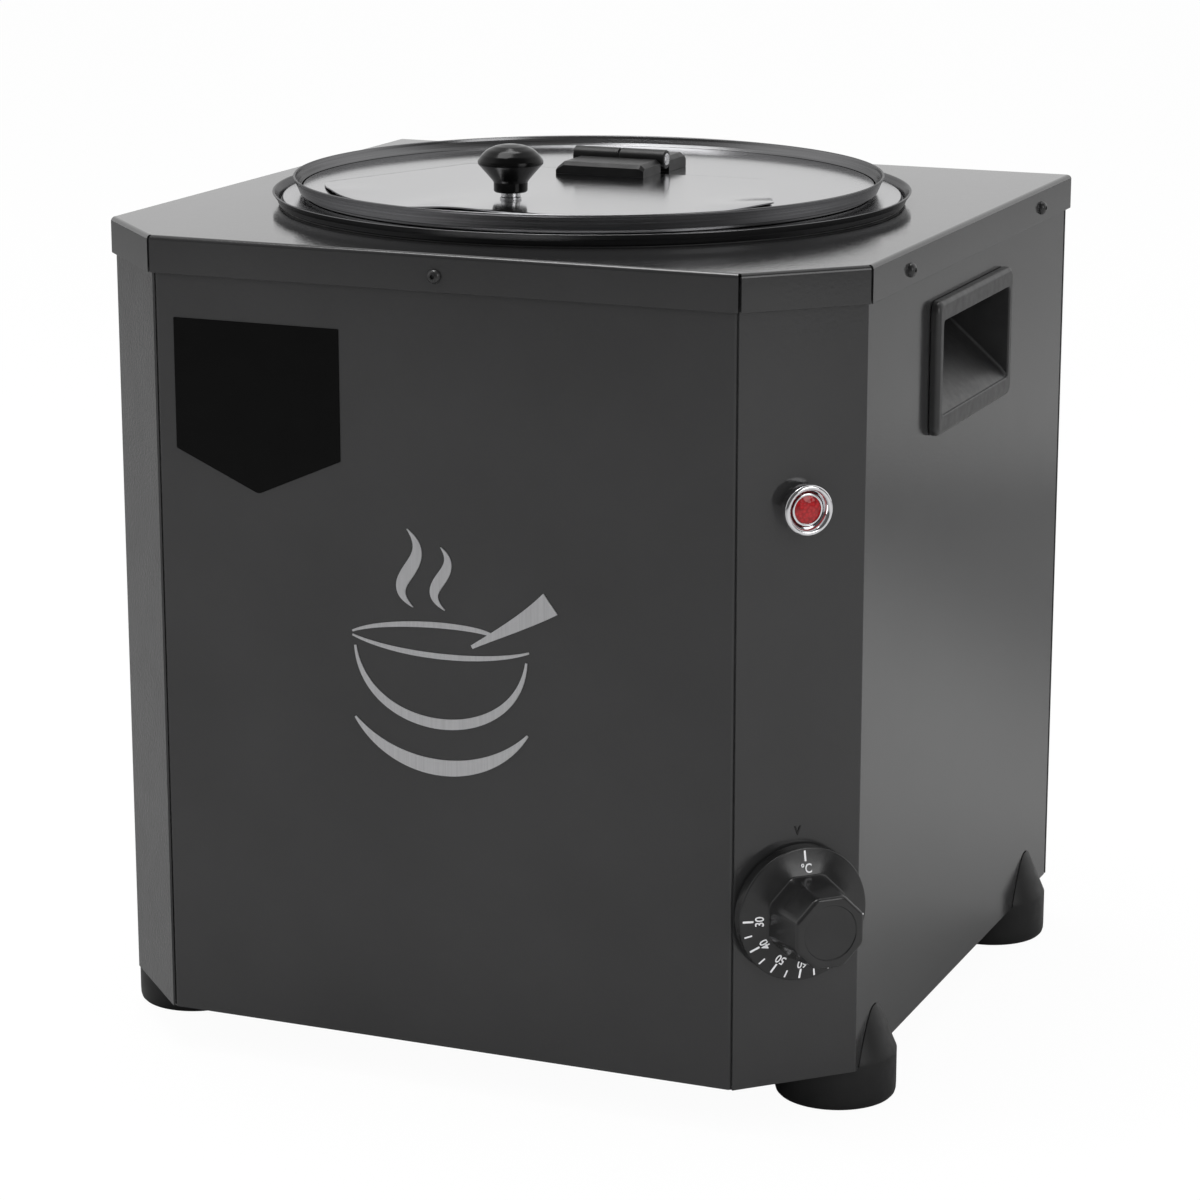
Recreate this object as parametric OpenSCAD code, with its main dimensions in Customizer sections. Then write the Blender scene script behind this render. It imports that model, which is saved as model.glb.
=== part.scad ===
// Soup kettle: a sheet-metal casing with two cut front corners, a heated well,
// a lift-out pot, a lift-off lid with a hinged flap, and a thermostat dial.
// Millimetres, +Z up, +Y to the back; the origin is on the floor under the middle of the well.

/* [Casing] */
// Room between a handle's recess and the insulation
recess_gap = 6.1; // [3:0.1:30]
// Room from the insulation to the front and back panels
front_room = 29.1; // [24:0.1:50]
// Height from the casing's bottom edge to the top face of the cover
casing_h = 355; // [345:1:400]
// Length that each front corner cut takes off the front and off the side
corner_cut = 41.5; // [38:0.5:46]
// Thickness of the painted sheet
sheet = 1; // [0.8:0.1:1.4]
// Width of the flanges bent in on the panel edges
flange_w = 14; // [10:1:18]
// Height of the upturned edge of the base plate
tray_h = 12; // [8:1:20]

/* [Top cover] */
// Height of the bent-down skirt, from the top face
skirt_h = 16.3; // [14:0.1:20]
// Gap between the skirt and the panels inside it
skirt_gap = 1; // [0.5:0.1:1.5]
// Width of the open seam at each corner of the skirt
seam_w = 0.8; // [0.4:0.1:1.2]
// Height of the skirt screws below the top face
skirt_screw_drop = 9.5; // [8:0.1:11]
// Distance between the two screws on each side
side_screw_pitch = 199; // [160:1:220]
// Distance between the two screws on the back of the skirt
back_screw_pitch = 240; // [180:1:280]
// Shank diameter of the panel screws
screw_d = 4; // [3:0.5:4.5]
// Length of the panel screws under the head
screw_l = 8; // [6:0.5:9]

/* [Feet] */
// Diameter of a foot
foot_d = 54; // [50:1:58]
// Height of the casing's bottom edge above the floor
foot_h = 20; // [16:1:30]
// Distance of a foot's axis inside the face of the side panel
foot_inset = 17.5; // [15:0.5:20]
// Distance of the front feet's axes behind the front panel
foot_front = 66.5; // [62:0.5:75]
// Distance of the back feet's axes in front of the back panel
foot_back = 39; // [34:0.5:50]
// Height of the pointed tongue above the casing's bottom edge
tongue_h = 23; // [16:1:30]
// Shank diameter of the foot screws
foot_screw_d = 5; // [4:0.5:6]

/* [Well and pot] */
// Inside radius of the pot
pot_r = 125; // [118:0.5:127]
// Inside depth of the pot, from its flange
pot_depth = 235; // [200:1:240]
// Thickness of the stainless sheet of the pot and the well
steel = 0.8; // [0.6:0.1:1]
// Water gap around the pot
water_gap = 8; // [6:0.5:9]
// Water depth under the pot
water_depth = 12; // [8:1:20]
// Width of the well's flange, out to the root of the upturned rim
collar_w = 9.4; // [8.4:0.1:12]
// How far the upturned rim flares out
collar_flare = 2.9; // [1.5:0.1:4]
// Height of the rim's edge above the top cover
rim_h = 6.2; // [5.6:0.1:8]
// Thickness of the seal between the well and the cover
gasket_t = 0.8; // [0.5:0.1:1.2]
// Height of the turned-down edge of the pot's flange
pot_lip_h = 2.1; // [1.6:0.1:3]
// Gap between the pot's flange and the upturned rim
pot_rim_gap = 0.7; // [0.5:0.1:1.5]
// Thickness of the insulation around the well
wool_t = 6; // [3:0.5:10]
// Distance of the insulation's top edge below the top cover
jacket_drop = 20; // [10:1:40]

/* [Lid] */
// Turn of the lid about the vertical axis
lid_turn = 0; // [-30:1:30]
// How far the lid's floor reaches over the pot's edge
lid_over = 7.2; // [5:0.1:9]
// How far the lid's wall flares out
lid_flare = 3.7; // [2:0.1:5]
// Height of the lid's wall
lid_wall_h = 8.5; // [6:0.1:12]
// Height of the lid's floor above the wall's lower edge
lid_rise = 3.1; // [1:0.1:4]
// Thickness of the lid's sheet
lid_t = 0.9; // [0.6:0.1:1.2]
// Depth of the ring that centres the lid in the pot
ring_h = 6; // [4:0.5:10]
// Gap between that ring and the pot
ring_gap = 0.8; // [0.5:0.1:2]

/* [Flap] */
// Distance of the flap's front edge inside the edge of the lid's floor
flap_edge = 10.7; // [10:0.1:14]
// Thickness of the flap
flap_t = 0.8; // [0.6:0.1:1.2]
// Width of the lid's floor that the flap's edge covers
flap_lap = 7; // [5:0.5:10]
// Angle of the flap's front corners, below the cross axis
flap_corner_a = 28; // [20:1:34]
// Angle of the flap's sides from the fore-and-aft axis
flap_side_a = 22; // [14:1:28]
// Greatest opening angle of the flap
flap_open = 110; // [80:1:120]

/* [Hinge] */
// Length of the hinge along its pin
hinge_w = 50; // [44:1:60]
// Distance of the pin's axis behind the lid's centre
hinge_back = 41.5; // [34:0.5:48]
// Height of the pin's axis above the flap's top face
pin_h = 5.6; // [5:0.1:8]
// Diameter of the pin
pin_d = 6; // [5:0.5:7]
// Outside diameter of the knuckles
knuckle_d = 8.8; // [8.4:0.1:10]
// Length of a leaf, from the pin's axis
leaf_l = 27; // [24:0.5:30]
// Thickness of a leaf at its screws
leaf_t = 6; // [5:0.5:7]
// Distance between the two screws of a leaf
leaf_screw_pitch = 32; // [26:1:38]
// Distance of those screws from the leaf's outer edge
leaf_edge = 8; // [7:0.5:9]
// Running gap between the pin and the turning knuckle
pin_gap = 0.08; // [0.03:0.01:0.1]

/* [Lid knob] */
// Distance of the knob's axis in front of the lid's centre
knob_front = 81; // [65:1:90]
// Greatest diameter of the knob
knob_d = 29; // [26:0.5:34]
// Height of the knob, from its neck's underside
knob_h = 23.5; // [20:0.5:30]
// Diameter of the knob's neck
neck_d = 16.5; // [14:0.5:18]
// Diameter of the metal collar under the knob
stud_d = 8.5; // [8:0.5:10]
// Height of that collar
stud_h = 4.6; // [2:0.1:6]

/* [Thermostat] */
// Diameter of the dial
dial_d = 59.5; // [54:0.5:60]
// Height of the dial's axis above the casing's bottom edge
dial_z = 78.5; // [65:0.5:100]
// Gap between the dial and the casing
dial_gap = 1.2; // [0.8:0.1:2]
// Height of the dial's rim
dial_rim = 6; // [5:0.5:8]
// Rise of the dial's sloped face, from its rim to the grip
dial_rise = 3; // [1:0.5:5]
// Width across the flats of the octagonal grip
grip_w = 31; // [26:0.5:36]
// Height of the grip above the sloped face
grip_h = 24; // [18:0.5:26]
// Diameter of the thermostat's spindle
spindle_d = 6; // [5:0.5:8]
// Width of the thermostat's body
stat_w = 32; // [26:1:32]
// Depth of the thermostat's body
stat_d = 34; // [26:1:40]

/* [Pilot light] */
// Outside diameter of the bezel
bezel_d = 22.2; // [18:0.1:26]
// Height of the bezel above the casing
bezel_h = 8; // [6:0.1:10]
// Height of the light above the casing's bottom edge
pilot_z = 255; // [200:1:300]
// Diameter of the hole that the light passes through
pilot_hole_d = 13; // [12:0.5:14]
// Length of the light's body behind the panel
pilot_l = 30; // [20:1:34]

/* [Handles] */
// Width of the frame along the side
frame_w = 112; // [104:1:124]
// Height of the frame
frame_h = 60; // [54:1:66]
// How far the frame stands out of the side panel
frame_proud = 7; // [5:0.5:9]
// Radius of the frame's rounded edges
frame_round = 3; // [2:0.5:4]
// Width of the recess
recess_w = 98; // [90:1:100]
// Height of the recess
recess_h = 42; // [38:1:44]
// Depth of the recess, from the frame's face
recess_d = 36; // [30:0.5:37]
// Height of the slanted floor of the recess
slant_h = 32; // [26:1:34]
// Thickness of the moulding's walls
wall = 2; // [1.6:0.1:2.4]
// Room between the cover's skirt and the frame
handle_gap = 12.7; // [3:0.1:40]
// Distance of the handle's middle behind the middle of the casing
handle_y = 12; // [-10:1:30]

/* [Front] */
// Width of the blank badge
badge_w = 80; // [60:1:90]
// Height of the badge at its sides
badge_side_h = 58; // [40:1:70]
// Depth of the badge's lower point
badge_point = 17.5; // [10:0.5:25]
// Distance of the badge's left edge from the front panel's left edge
badge_left = 10; // [6:1:20]
// Distance of the badge's top edge below the top face of the cover
badge_drop = 35.5; // [26:0.5:50]
// Width of the bowl emblem
emblem_w = 84; // [60:1:110]
// Height of the bowl's rim above the casing's bottom edge
emblem_z = 186; // [150:1:220]
// Thickness of the badge and the emblem
foil_t = 0.4; // [0.2:0.1:0.8]

/* [Heater] */
// Radius of the heat-spreading plate
plate_r = 95; // [80:1:98]
// Thickness of that plate
plate_t = 5; // [3:0.5:8]
// Radius of the tubular element's ring
element_r = 70; // [60:1:78]
// Diameter of the element's tube
element_d = 8; // [6:0.5:10]
// Diameter of the stud that holds the heater
heater_stud_d = 8; // [6:1:10]

/* [Cable entry] */
// Bore of the cable gland
gland_bore_d = 8.5; // [6:0.5:10]
// Distance of the gland to the right of the middle
gland_x = 100; // [80:1:120]
// Height of the gland above the casing's bottom edge
gland_z = 40; // [30:1:50]
// Distance of the terminal block's middle in front of the back panel
term_back = 55; // [40:1:70]

/* [Hidden] */
$fn = 64;
fit = 0.3;      // gap between pieces on different bodies, and around panels
snug = 0.15;    // gap between a screw or a plug and its hole
far = 400;      // longer than any cut needs to be
cover_z = foot_h + casing_h;
base_top = foot_h + sheet;
panel_h = casing_h - sheet - fit;

// Heights at the mouth, upward from the cover
collar_z = cover_z + gasket_t;
pot_lip_z = collar_z + steel + fit;
pot_top = pot_lip_z + pot_lip_h;
lid_z = pot_top + fit;
lid_floor_z = lid_z + lid_rise;
lid_top = lid_floor_z + lid_t;
flap_z = lid_top + fit;
flap_top = flap_z + flap_t;
pin_z = flap_top + pin_h;

// Radii
well_r = pot_r + steel + water_gap;
well_out = well_r + steel;
collar_r = well_out + collar_w;
jacket_r = well_out + fit + wool_t;
lid_r = pot_r + lid_over;
flap_r = lid_r - flap_edge;
pot_flange_r = collar_r - steel - pot_rim_gap;
knuckle_r = knuckle_d / 2;

// Plan of the casing
half_w = jacket_r + recess_gap + wall + recess_d - frame_proud;
half_d = jacket_r + front_room;
casing_w = 2 * half_w;
casing_d = 2 * half_d;
front_w = casing_w - 2 * corner_cut;
side_mid_y = corner_cut / 2;

// Heights under the well, downward
pot_floor = pot_top - pot_depth;
well_floor = pot_floor - steel - water_depth;
well_bottom = well_floor - steel;
plate_z = well_bottom - plate_t;
element_z = plate_z - element_d / 2;
clamp_t = 3;
clamp_z = plate_z - element_d - clamp_t;
clamp_w = 20;

// Thermostat, in the frame of the right corner face
grip_z = dial_gap + dial_rim + dial_rise;
grip_top = grip_z + grip_h;
spindle_r = spindle_d / 2;
skirt_t = 2;
stat_screw_pitch = 28;
bulb_d = 6;
bulb_l = 70;
bulb_r = (plate_r + well_out) / 2;
bulb_z = well_bottom - snug - bulb_d / 2;
capillary_d = 2;
wire_d = 2.6;

// Cable entry
gland_h = foot_h + gland_z;
gland_r = gland_bore_d / 2 + 3;
gland_out = 14;
gland_in = 16;
term_w = 46;
term_d = 18;
term_h = 16;
term_y = half_d - term_back;

// ---- plan outlines and bent sheet ----

// Plan outline of the casing, moved in by inset
function outline(inset) =
    let (w = half_w - inset, d = half_d - inset, c = corner_cut - inset * (2 - sqrt(2)))
    [[-w + c, -d], [w - c, -d], [w, -d + c], [w, d], [-w, d], [-w, -d + c]];

function unit(v) = v / norm(v);
function left_of(v) = [-v[1], v[0]];
function side_at(path, i) = left_of(unit(path[i + 1] - path[i]));

// Corner i of a path, moved to the path's left by t
function mitre(path, i, t) =
    let (n = len(path), a = side_at(path, max(i - 1, 0)), b = side_at(path, min(i, n - 2)))
    path[i] + t * (a + b) / (1 + a * b);

// Closed outline of a sheet of thickness t bent along a path
function bent(path, t) =
    concat(path, [for (i = [len(path) - 1:-1:0]) mitre(path, i, t)]);

module bent_sheet(path, z, h) {
    translate([0, 0, z]) linear_extrude(h) polygon(bent(path, sheet));
}

module tray_wall(outer, inner, z, h) {
    translate([0, 0, z]) difference() {
        linear_extrude(h) polygon(outline(outer));
        translate([0, 0, -1]) linear_extrude(h + 2) polygon(outline(inner));
    }
}

// ---- places ----

// On the right corner face: X along it, Y up, Z outward
module on_cut(z) {
    translate([half_w - corner_cut / 2, -half_d + corner_cut / 2, foot_h + z])
        rotate([90, 0, 45]) children();
}

// On the front panel: X to the right, Y up, Z outward
module on_front(x, z) {
    translate([x, -half_d, foot_h + z]) rotate([90, 0, 0]) children();
}

// On the lid's axes, at the height of the top cover
module on_lid() {
    rotate([0, 0, lid_turn]) children();
}

// Skirt screw places: [x, y, angle of the outward direction]
skirt_face = skirt_gap + sheet;
skirt_spots = [
    [0, -half_d - skirt_face, -90],
    [half_w + skirt_face, side_mid_y - side_screw_pitch / 2, 0],
    [half_w + skirt_face, side_mid_y + side_screw_pitch / 2, 0],
    [-half_w - skirt_face, side_mid_y - side_screw_pitch / 2, 180],
    [-half_w - skirt_face, side_mid_y + side_screw_pitch / 2, 180],
    [-back_screw_pitch / 2, half_d + skirt_face, 90],
    [back_screw_pitch / 2, half_d + skirt_face, 90]
];

module at_skirt_screws() {
    for (s = skirt_spots)
        translate([s[0], s[1], cover_z - skirt_screw_drop]) rotate([0, 90, s[2]]) children();
}

// Screws that hold the back panel to the side panels' flanges
module at_back_screws() {
    for (x = [-1, 1], z = [0.25, 0.75])
        translate([x * (half_w - flange_w / 2), half_d, foot_h + z * panel_h])
            rotate([0, 90, 90]) children();
}

foot_spots = [
    [-half_w + foot_inset, -half_d + foot_front],
    [half_w - foot_inset, -half_d + foot_front],
    [-half_w + foot_inset, half_d - foot_back],
    [half_w - foot_inset, half_d - foot_back]
];

module at_leaf_screws(side) {
    on_lid() for (x = [-1, 1])
        translate([x * leaf_screw_pitch / 2, hinge_back + side * (leaf_l - leaf_edge), 0]) children();
}

// ---- fasteners ----

// Pan-head screw along +Z with its head's underside at 0
module pan_screw(d, l) {
    head_r = 0.8 * d;
    difference() {
        union() {
            translate([0, 0, -l]) cylinder(d = d, h = l);
            rotate_extrude() polygon([[0, 0], [head_r, 0], [head_r, 0.25 * d],
                [0.8 * head_r, 0.45 * d], [0.45 * head_r, 0.55 * d], [0, 0.58 * d]]);
        }
        for (a = [0, 90]) rotate([0, 0, a])
            translate([-0.5 * d, -0.1 * d, 0.3 * d]) cube([d, 0.2 * d, d]);
    }
}

// Hexagonal nut with its underside at 0
module nut(d, h) {
    difference() {
        cylinder(d = 1.9 * d, h = h, $fn = 6);
        translate([0, 0, -1]) cylinder(r = d / 2 + snug / 2, h = h + 2);
    }
}

module screw_hole() {
    translate([0, 0, -far / 8]) cylinder(r = screw_d / 2 + snug, h = far / 4);
}

// ---- casing ----

module front_panel() {
    inset = sheet + fit;
    reach = flange_w / sqrt(2);
    edge = front_w / 2 - inset * sqrt(2);
    path = [[-edge - reach, -half_d + reach], [-edge, -half_d],
        [edge, -half_d], [edge + reach, -half_d + reach]];
    color("#3a3a3b") difference() {
        bent_sheet(path, foot_h, panel_h);
        at_skirt_screws() screw_hole();
    }
}

module side_panel(side) {
    back_y = half_d - sheet - fit;
    path = [[half_w - corner_cut, -half_d], [half_w, -half_d + corner_cut],
        [half_w, back_y], [half_w - flange_w, back_y]];
    color("#3a3a3b") difference() {
        mirror([side < 0 ? 1 : 0, 0, 0]) bent_sheet(path, foot_h, panel_h);
        at_skirt_screws() screw_hole();
        at_back_screws() screw_hole();
        mirror([side < 0 ? 1 : 0, 0, 0]) handle_cutout();
        if (side > 0) {
            on_cut(pilot_z) translate([0, 0, -far / 8]) cylinder(d = pilot_hole_d, h = far / 4);
            on_cut(dial_z) translate([0, 0, -far / 8])
                cylinder(r = spindle_r + 1.5, h = far / 4);
            on_cut(dial_z) for (x = [-1, 1])
                translate([x * stat_screw_pitch / 2, 0, 0]) screw_hole();
        }
    }
}

module back_panel() {
    color("#3a3a3b") difference() {
        translate([-half_w, half_d - sheet, foot_h]) cube([casing_w, sheet, panel_h]);
        at_skirt_screws() screw_hole();
        at_back_screws() screw_hole();
        translate([gland_x, half_d + 1, gland_h]) rotate([90, 0, 0])
            cylinder(r = gland_r + snug, h = sheet + 2);
    }
}

module base_plate() {
    inset = 2 * (sheet + fit);
    color("#4a4a4b") difference() {
        union() {
            translate([0, 0, foot_h]) linear_extrude(sheet) polygon(outline(inset));
            tray_wall(inset, inset + sheet, foot_h, tray_h);
        }
        for (p = foot_spots) translate([p[0], p[1], 0])
            cylinder(r = foot_screw_d / 2 + snug, h = far / 8);
    }
}

module top_cover() {
    outer = -skirt_face;
    color("#5a5a5b") difference() {
        union() {
            translate([0, 0, cover_z - sheet]) linear_extrude(sheet) polygon(outline(outer));
            tray_wall(outer, -skirt_gap, cover_z - skirt_h, skirt_h);
        }
        translate([0, 0, cover_z - 2 * sheet])
            cylinder(r = well_out + fit, h = 3 * sheet, $fn = 128);
        at_skirt_screws() screw_hole();
        skirt_seams();
    }
}

// Open seams at the corners of the skirt, each along the corner's bisector
module skirt_seams() {
    p = outline(-skirt_face);
    angles = [-112.5, -67.5, -22.5, 45, 135, -157.5];
    for (i = [0:5])
        translate([p[i][0], p[i][1], cover_z - skirt_h - 1]) rotate([0, 0, angles[i]])
            translate([-3 * sheet, -seam_w / 2, 0]) cube([6 * sheet, seam_w, skirt_h + 1 - sheet]);
}

module cover_screws() {
    color("#1c1c1c") at_skirt_screws() pan_screw(screw_d, screw_l);
}

module back_screws() {
    color("#1c1c1c") at_back_screws() pan_screw(screw_d, screw_l);
}

// ---- feet ----

// Foot at the right of the casing; its tongue stands outside the side panel
module foot(i) {
    side = foot_spots[i][0] > 0 ? 1 : -1;
    r = foot_d / 2;
    tip_r = foot_inset + fit;
    color("#2b2b2b") translate([foot_spots[i][0], foot_spots[i][1], 0])
        mirror([side < 0 ? 1 : 0, 0, 0]) difference() {
            rotate_extrude($fn = 96) polygon([[0, 0], [r - 2.5, 0], [r - 1, 0.7], [r - 0.3, 2.5],
                [r, foot_h + 1], [tip_r, foot_h + tongue_h], [0, foot_h + tongue_h]]);
            translate([tip_r - far, -far / 2, foot_h]) cube([far, far, far]);
            translate([0, 0, -1]) cylinder(r = foot_screw_d / 2 + snug, h = far);
            translate([0, 0, -1]) cylinder(r = foot_screw_d + 1, h = foot_h / 2 + 1);
        }
}

module foot_screws() {
    color("silver") for (p = foot_spots) translate([p[0], p[1], foot_h / 2])
        rotate([180, 0, 0]) pan_screw(foot_screw_d, foot_h / 2 + sheet + 6);
}

module foot_nuts() {
    color("silver") for (p = foot_spots) translate([p[0], p[1], base_top]) nut(foot_screw_d, 4);
}

// ---- handles, modelled on the right side ----

handle_mid_z = cover_z - skirt_h - handle_gap - frame_h / 2;
recess_low = handle_mid_z - recess_h / 2;
recess_high = handle_mid_z + recess_h / 2;
face_x = half_w + frame_proud;
deep_x = face_x - recess_d;

// Cross-section of the recess, grown by g on its inner side, from plane x outward
function recess_section(g, x) =
    let (rise = slant_h / recess_d, lift = g * norm([1, rise]),
        low_at_deep = recess_low + slant_h + g * rise - lift,
        low_at_face = recess_low - lift)
    [[x, recess_high + g], [deep_x - g, recess_high + g], [deep_x - g, low_at_deep],
        [face_x, low_at_face], [x, low_at_face]];

module recess_prism(g, x) {
    translate([0, handle_y + recess_w / 2 + g, 0]) rotate([90, 0, 0])
        linear_extrude(recess_w + 2 * g) polygon(recess_section(g, x));
}

module handle_cutout() {
    margin = wall + fit;
    translate([half_w - flange_w / 2, handle_y - recess_w / 2 - margin, recess_low - margin])
        cube([flange_w, recess_w + 2 * margin, recess_h + 2 * margin]);
}

module handle_frame() {
    r = frame_round;
    translate([half_w + fit / 3, handle_y, handle_mid_z]) hull()
        for (y = [-1, 1], z = [-1, 1])
            translate([0, y * (frame_w / 2 - r), z * (frame_h / 2 - r)]) {
                translate([frame_proud - fit / 3 - r, 0, 0]) sphere(r = r, $fn = 24);
                rotate([0, 90, 0]) cylinder(r = r, h = 1, $fn = 24);
            }
}

module handle() {
    color("#262626") difference() {
        union() {
            handle_frame();
            intersection() {
                recess_prism(wall, face_x);
                translate([deep_x - 2 * wall, handle_y - frame_w / 2, handle_mid_z - frame_h / 2])
                    cube([half_w + 1 - deep_x + 2 * wall, frame_w, frame_h]);
            }
            for (y = [-1, 1])
                translate([half_w - sheet - fit - 4, handle_y + y * (recess_w / 2 + wall) - 1,
                    recess_high - 16]) cube([4, 2, 12]);
        }
        recess_prism(0, face_x + 1);
    }
}

// ---- front decoration ----

module badge_plate() {
    x = -front_w / 2 + badge_left;
    top = casing_h - badge_drop;
    color("black") on_front(0, top) linear_extrude(foil_t) polygon([[x, 0],
        [x, -badge_side_h], [x + badge_w / 2, -badge_side_h - badge_point],
        [x + badge_w, -badge_side_h], [x + badge_w, 0]]);
}

// Point of a cubic curve
function curve(p, t) = pow(1 - t, 3) * p[0] + 3 * t * pow(1 - t, 2) * p[1]
    + 3 * t * t * (1 - t) * p[2] + pow(t, 3) * p[3];

// Half width of a brush stroke that swells from w[0] through w[1] to w[2]
function swell(w, t) = (1 - t) * (1 - t) * w[0] + 2 * t * (1 - t) * w[1] + t * t * w[2];

// Outline of a stroke along a cubic curve
function stroke(p, w, n) =
    let (at = [for (i = [0:n]) curve(p, i / n)],
        side = [for (i = [0:n]) left_of(unit(at[min(i + 1, n)] - at[max(i - 1, 0)]))])
    concat([for (i = [0:n]) at[i] + side[i] * swell(w, i / n)],
        [for (i = [n:-1:0]) at[i] - side[i] * swell(w, i / n)]);

// Strokes of the emblem in units of half its width: [four points, half widths]
emblem_strokes = [
    // bowl
    [[[-0.97, -0.13], [-0.86, -1.13], [0.86, -1.13], [0.97, -0.13]], [0.012, 0.1, 0.012]],
    // back edge and front edge of the rim
    [[[-1, 0.02], [-0.6, 0.2], [0.55, 0.22], [0.62, 0.1]], [0.01, 0.05, 0.012]],
    [[[-1, -0.02], [-0.5, -0.2], [0.5, -0.2], [1, -0.02]], [0.01, 0.05, 0.01]],
    // saucer
    [[[-0.98, -0.9], [-0.5, -1.5], [0.5, -1.5], [0.98, -0.9]], [0.012, 0.16, 0.012]],
    // spoon
    [[[0.36, -0.02], [0.6, 0.12], [0.95, 0.3], [1.24, 0.52]], [0.02, 0.05, 0.13]],
    // steam
    [[[-0.3, 0.34], [-0.72, 0.62], [0.02, 0.8], [-0.36, 1.16]], [0.005, 0.14, 0.005]],
    [[[0.06, 0.34], [-0.3, 0.58], [0.3, 0.72], [0.02, 1.0]], [0.005, 0.12, 0.005]]
];

module bowl_emblem() {
    k = emblem_w / 2;
    color("#9a9a9a") on_front(0, emblem_z) for (s = emblem_strokes)
        linear_extrude(foil_t) polygon(k * stroke(s[0], s[1], 24));
}

module dial_pointer() {
    r = dial_d / 2;
    color("black") on_cut(dial_z) translate([0, r + 3.5, 0]) linear_extrude(foil_t)
        polygon([[-1.6, 4], [0, 0], [1.6, 4], [0, 1.8]]);
}

// ---- well, pot and heater ----

module well() {
    color("silver") difference() {
        rotate_extrude($fn = 180) polygon([[0, well_bottom], [well_out, well_bottom],
            [well_out, collar_z + steel], [well_r, collar_z + steel], [well_r, well_floor],
            [0, well_floor]]);
    }
}

// Flange and upturned rim, welded around the top of the well
module well_rim() {
    rim_r = collar_r + collar_flare;
    color("silver") rotate_extrude($fn = 180) polygon([[well_out, collar_z], [collar_r, collar_z],
        [rim_r, cover_z + rim_h], [rim_r - steel, cover_z + rim_h],
        [collar_r - steel, collar_z + steel], [well_out, collar_z + steel]]);
}

module well_gasket() {
    color("#202020") translate([0, 0, cover_z]) difference() {
        cylinder(r = collar_r - 0.5, h = gasket_t, $fn = 128);
        translate([0, 0, -1]) cylinder(r = well_out + fit, h = gasket_t + 2, $fn = 128);
    }
}

module insulation_jacket() {
    color("#c8c0a0") translate([0, 0, well_bottom]) difference() {
        cylinder(r = jacket_r, h = cover_z - well_bottom - jacket_drop, $fn = 128);
        translate([0, 0, -1]) cylinder(r = well_out + fit, h = casing_h, $fn = 128);
    }
}

module heater_stud() {
    h = well_bottom - clamp_z + 12;
    color("silver") translate([0, 0, well_bottom - h]) cylinder(d = heater_stud_d, h = h);
}

module heating_plate() {
    color("#b8bcc0") translate([0, 0, plate_z]) difference() {
        cylinder(r = plate_r, h = plate_t, $fn = 96);
        translate([0, 0, -1]) cylinder(r = heater_stud_d / 2 + fit, h = plate_t + 2);
    }
}

terminal_x = 12;
terminal_y = -sqrt(element_r * element_r - terminal_x * terminal_x);
terminal_drop = 24;

module heating_element() {
    color("#8a8a85") {
        translate([0, 0, element_z]) rotate_extrude($fn = 96)
            translate([element_r, 0]) circle(d = element_d, $fn = 32);
        for (x = [-1, 1]) translate([x * terminal_x, terminal_y, element_z - terminal_drop])
            cylinder(d = element_d - 1, h = terminal_drop);
    }
}

module heater_clamp() {
    l = 2 * element_r + 2 * element_d;
    color("silver") translate([0, 0, clamp_z]) difference() {
        translate([-l / 2, -clamp_w / 2, 0]) cube([l, clamp_w, clamp_t]);
        translate([0, 0, -1]) cylinder(r = heater_stud_d / 2 + fit, h = clamp_t + 2);
    }
}

module heater_nut() {
    color("silver") translate([0, 0, clamp_z - 6]) nut(heater_stud_d, 6);
}

module overheat_cutout() {
    color("#30302e") translate([-element_r / 2, -element_r / 2, plate_z - 10]) {
        cylinder(d = 16, h = 10);
        for (x = [-1, 1]) translate([x * 4 - 0.4, -3, -6]) cube([0.8, 6, 6]);
    }
}

module pot() {
    color("silver") rotate_extrude($fn = 180) polygon([[0, pot_floor - steel],
        [pot_r + steel - 4, pot_floor - steel], [pot_r + steel, pot_floor - steel + 4],
        [pot_r + steel, pot_top - steel], [pot_flange_r - steel, pot_top - steel],
        [pot_flange_r - steel, pot_lip_z], [pot_flange_r, pot_lip_z],
        [pot_flange_r, pot_top], [pot_r, pot_top], [pot_r, pot_floor + 4],
        [pot_r - 4, pot_floor], [0, pot_floor]]);
}

// ---- lid ----

module lid_pan() {
    color("silver") on_lid() difference() {
        rotate_extrude($fn = 180) polygon([[0, lid_floor_z], [lid_r - lid_t, lid_floor_z],
            [lid_r - lid_t, lid_z], [lid_r, lid_z],
            [lid_r + lid_flare, lid_z + lid_wall_h],
            [lid_r + lid_flare - lid_t, lid_z + lid_wall_h],
            [lid_r + lid_flare * (lid_top - lid_z) / lid_wall_h - lid_t, lid_top], [0, lid_top]]);
        flap_shape(lid_floor_z - 1, lid_t + 2, flap_lap);
        for (x = [-1, 1]) translate([x * leaf_screw_pitch / 2, hinge_back + leaf_l - leaf_edge, lid_floor_z - 1])
            cylinder(r = screw_d / 2 + snug, h = lid_t + 2);
    }
}

flap_back = hinge_back - 7;

// Flap-shaped block, moved in by inset on its round edge and its sides
module flap_shape(z, h, inset) {
    r = flap_r - inset;
    c = cos(flap_side_a);
    s = sin(flap_side_a);
    corner = [flap_r * cos(flap_corner_a) - inset * c, -flap_r * sin(flap_corner_a) - inset * s];
    back = flap_back - inset * 0.4;
    back_x = corner[0] - (back - corner[1]) * s / c;
    out = corner + flap_r / 2 * [s, -c];
    intersection() {
        translate([0, 0, z]) cylinder(r = r, h = h, $fn = 180);
        translate([0, 0, z]) linear_extrude(h) polygon([[-back_x, back], [-out[0], out[1]],
            [-out[0], -far], [out[0], -far], [out[0], out[1]], [back_x, back]]);
    }
}

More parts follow.
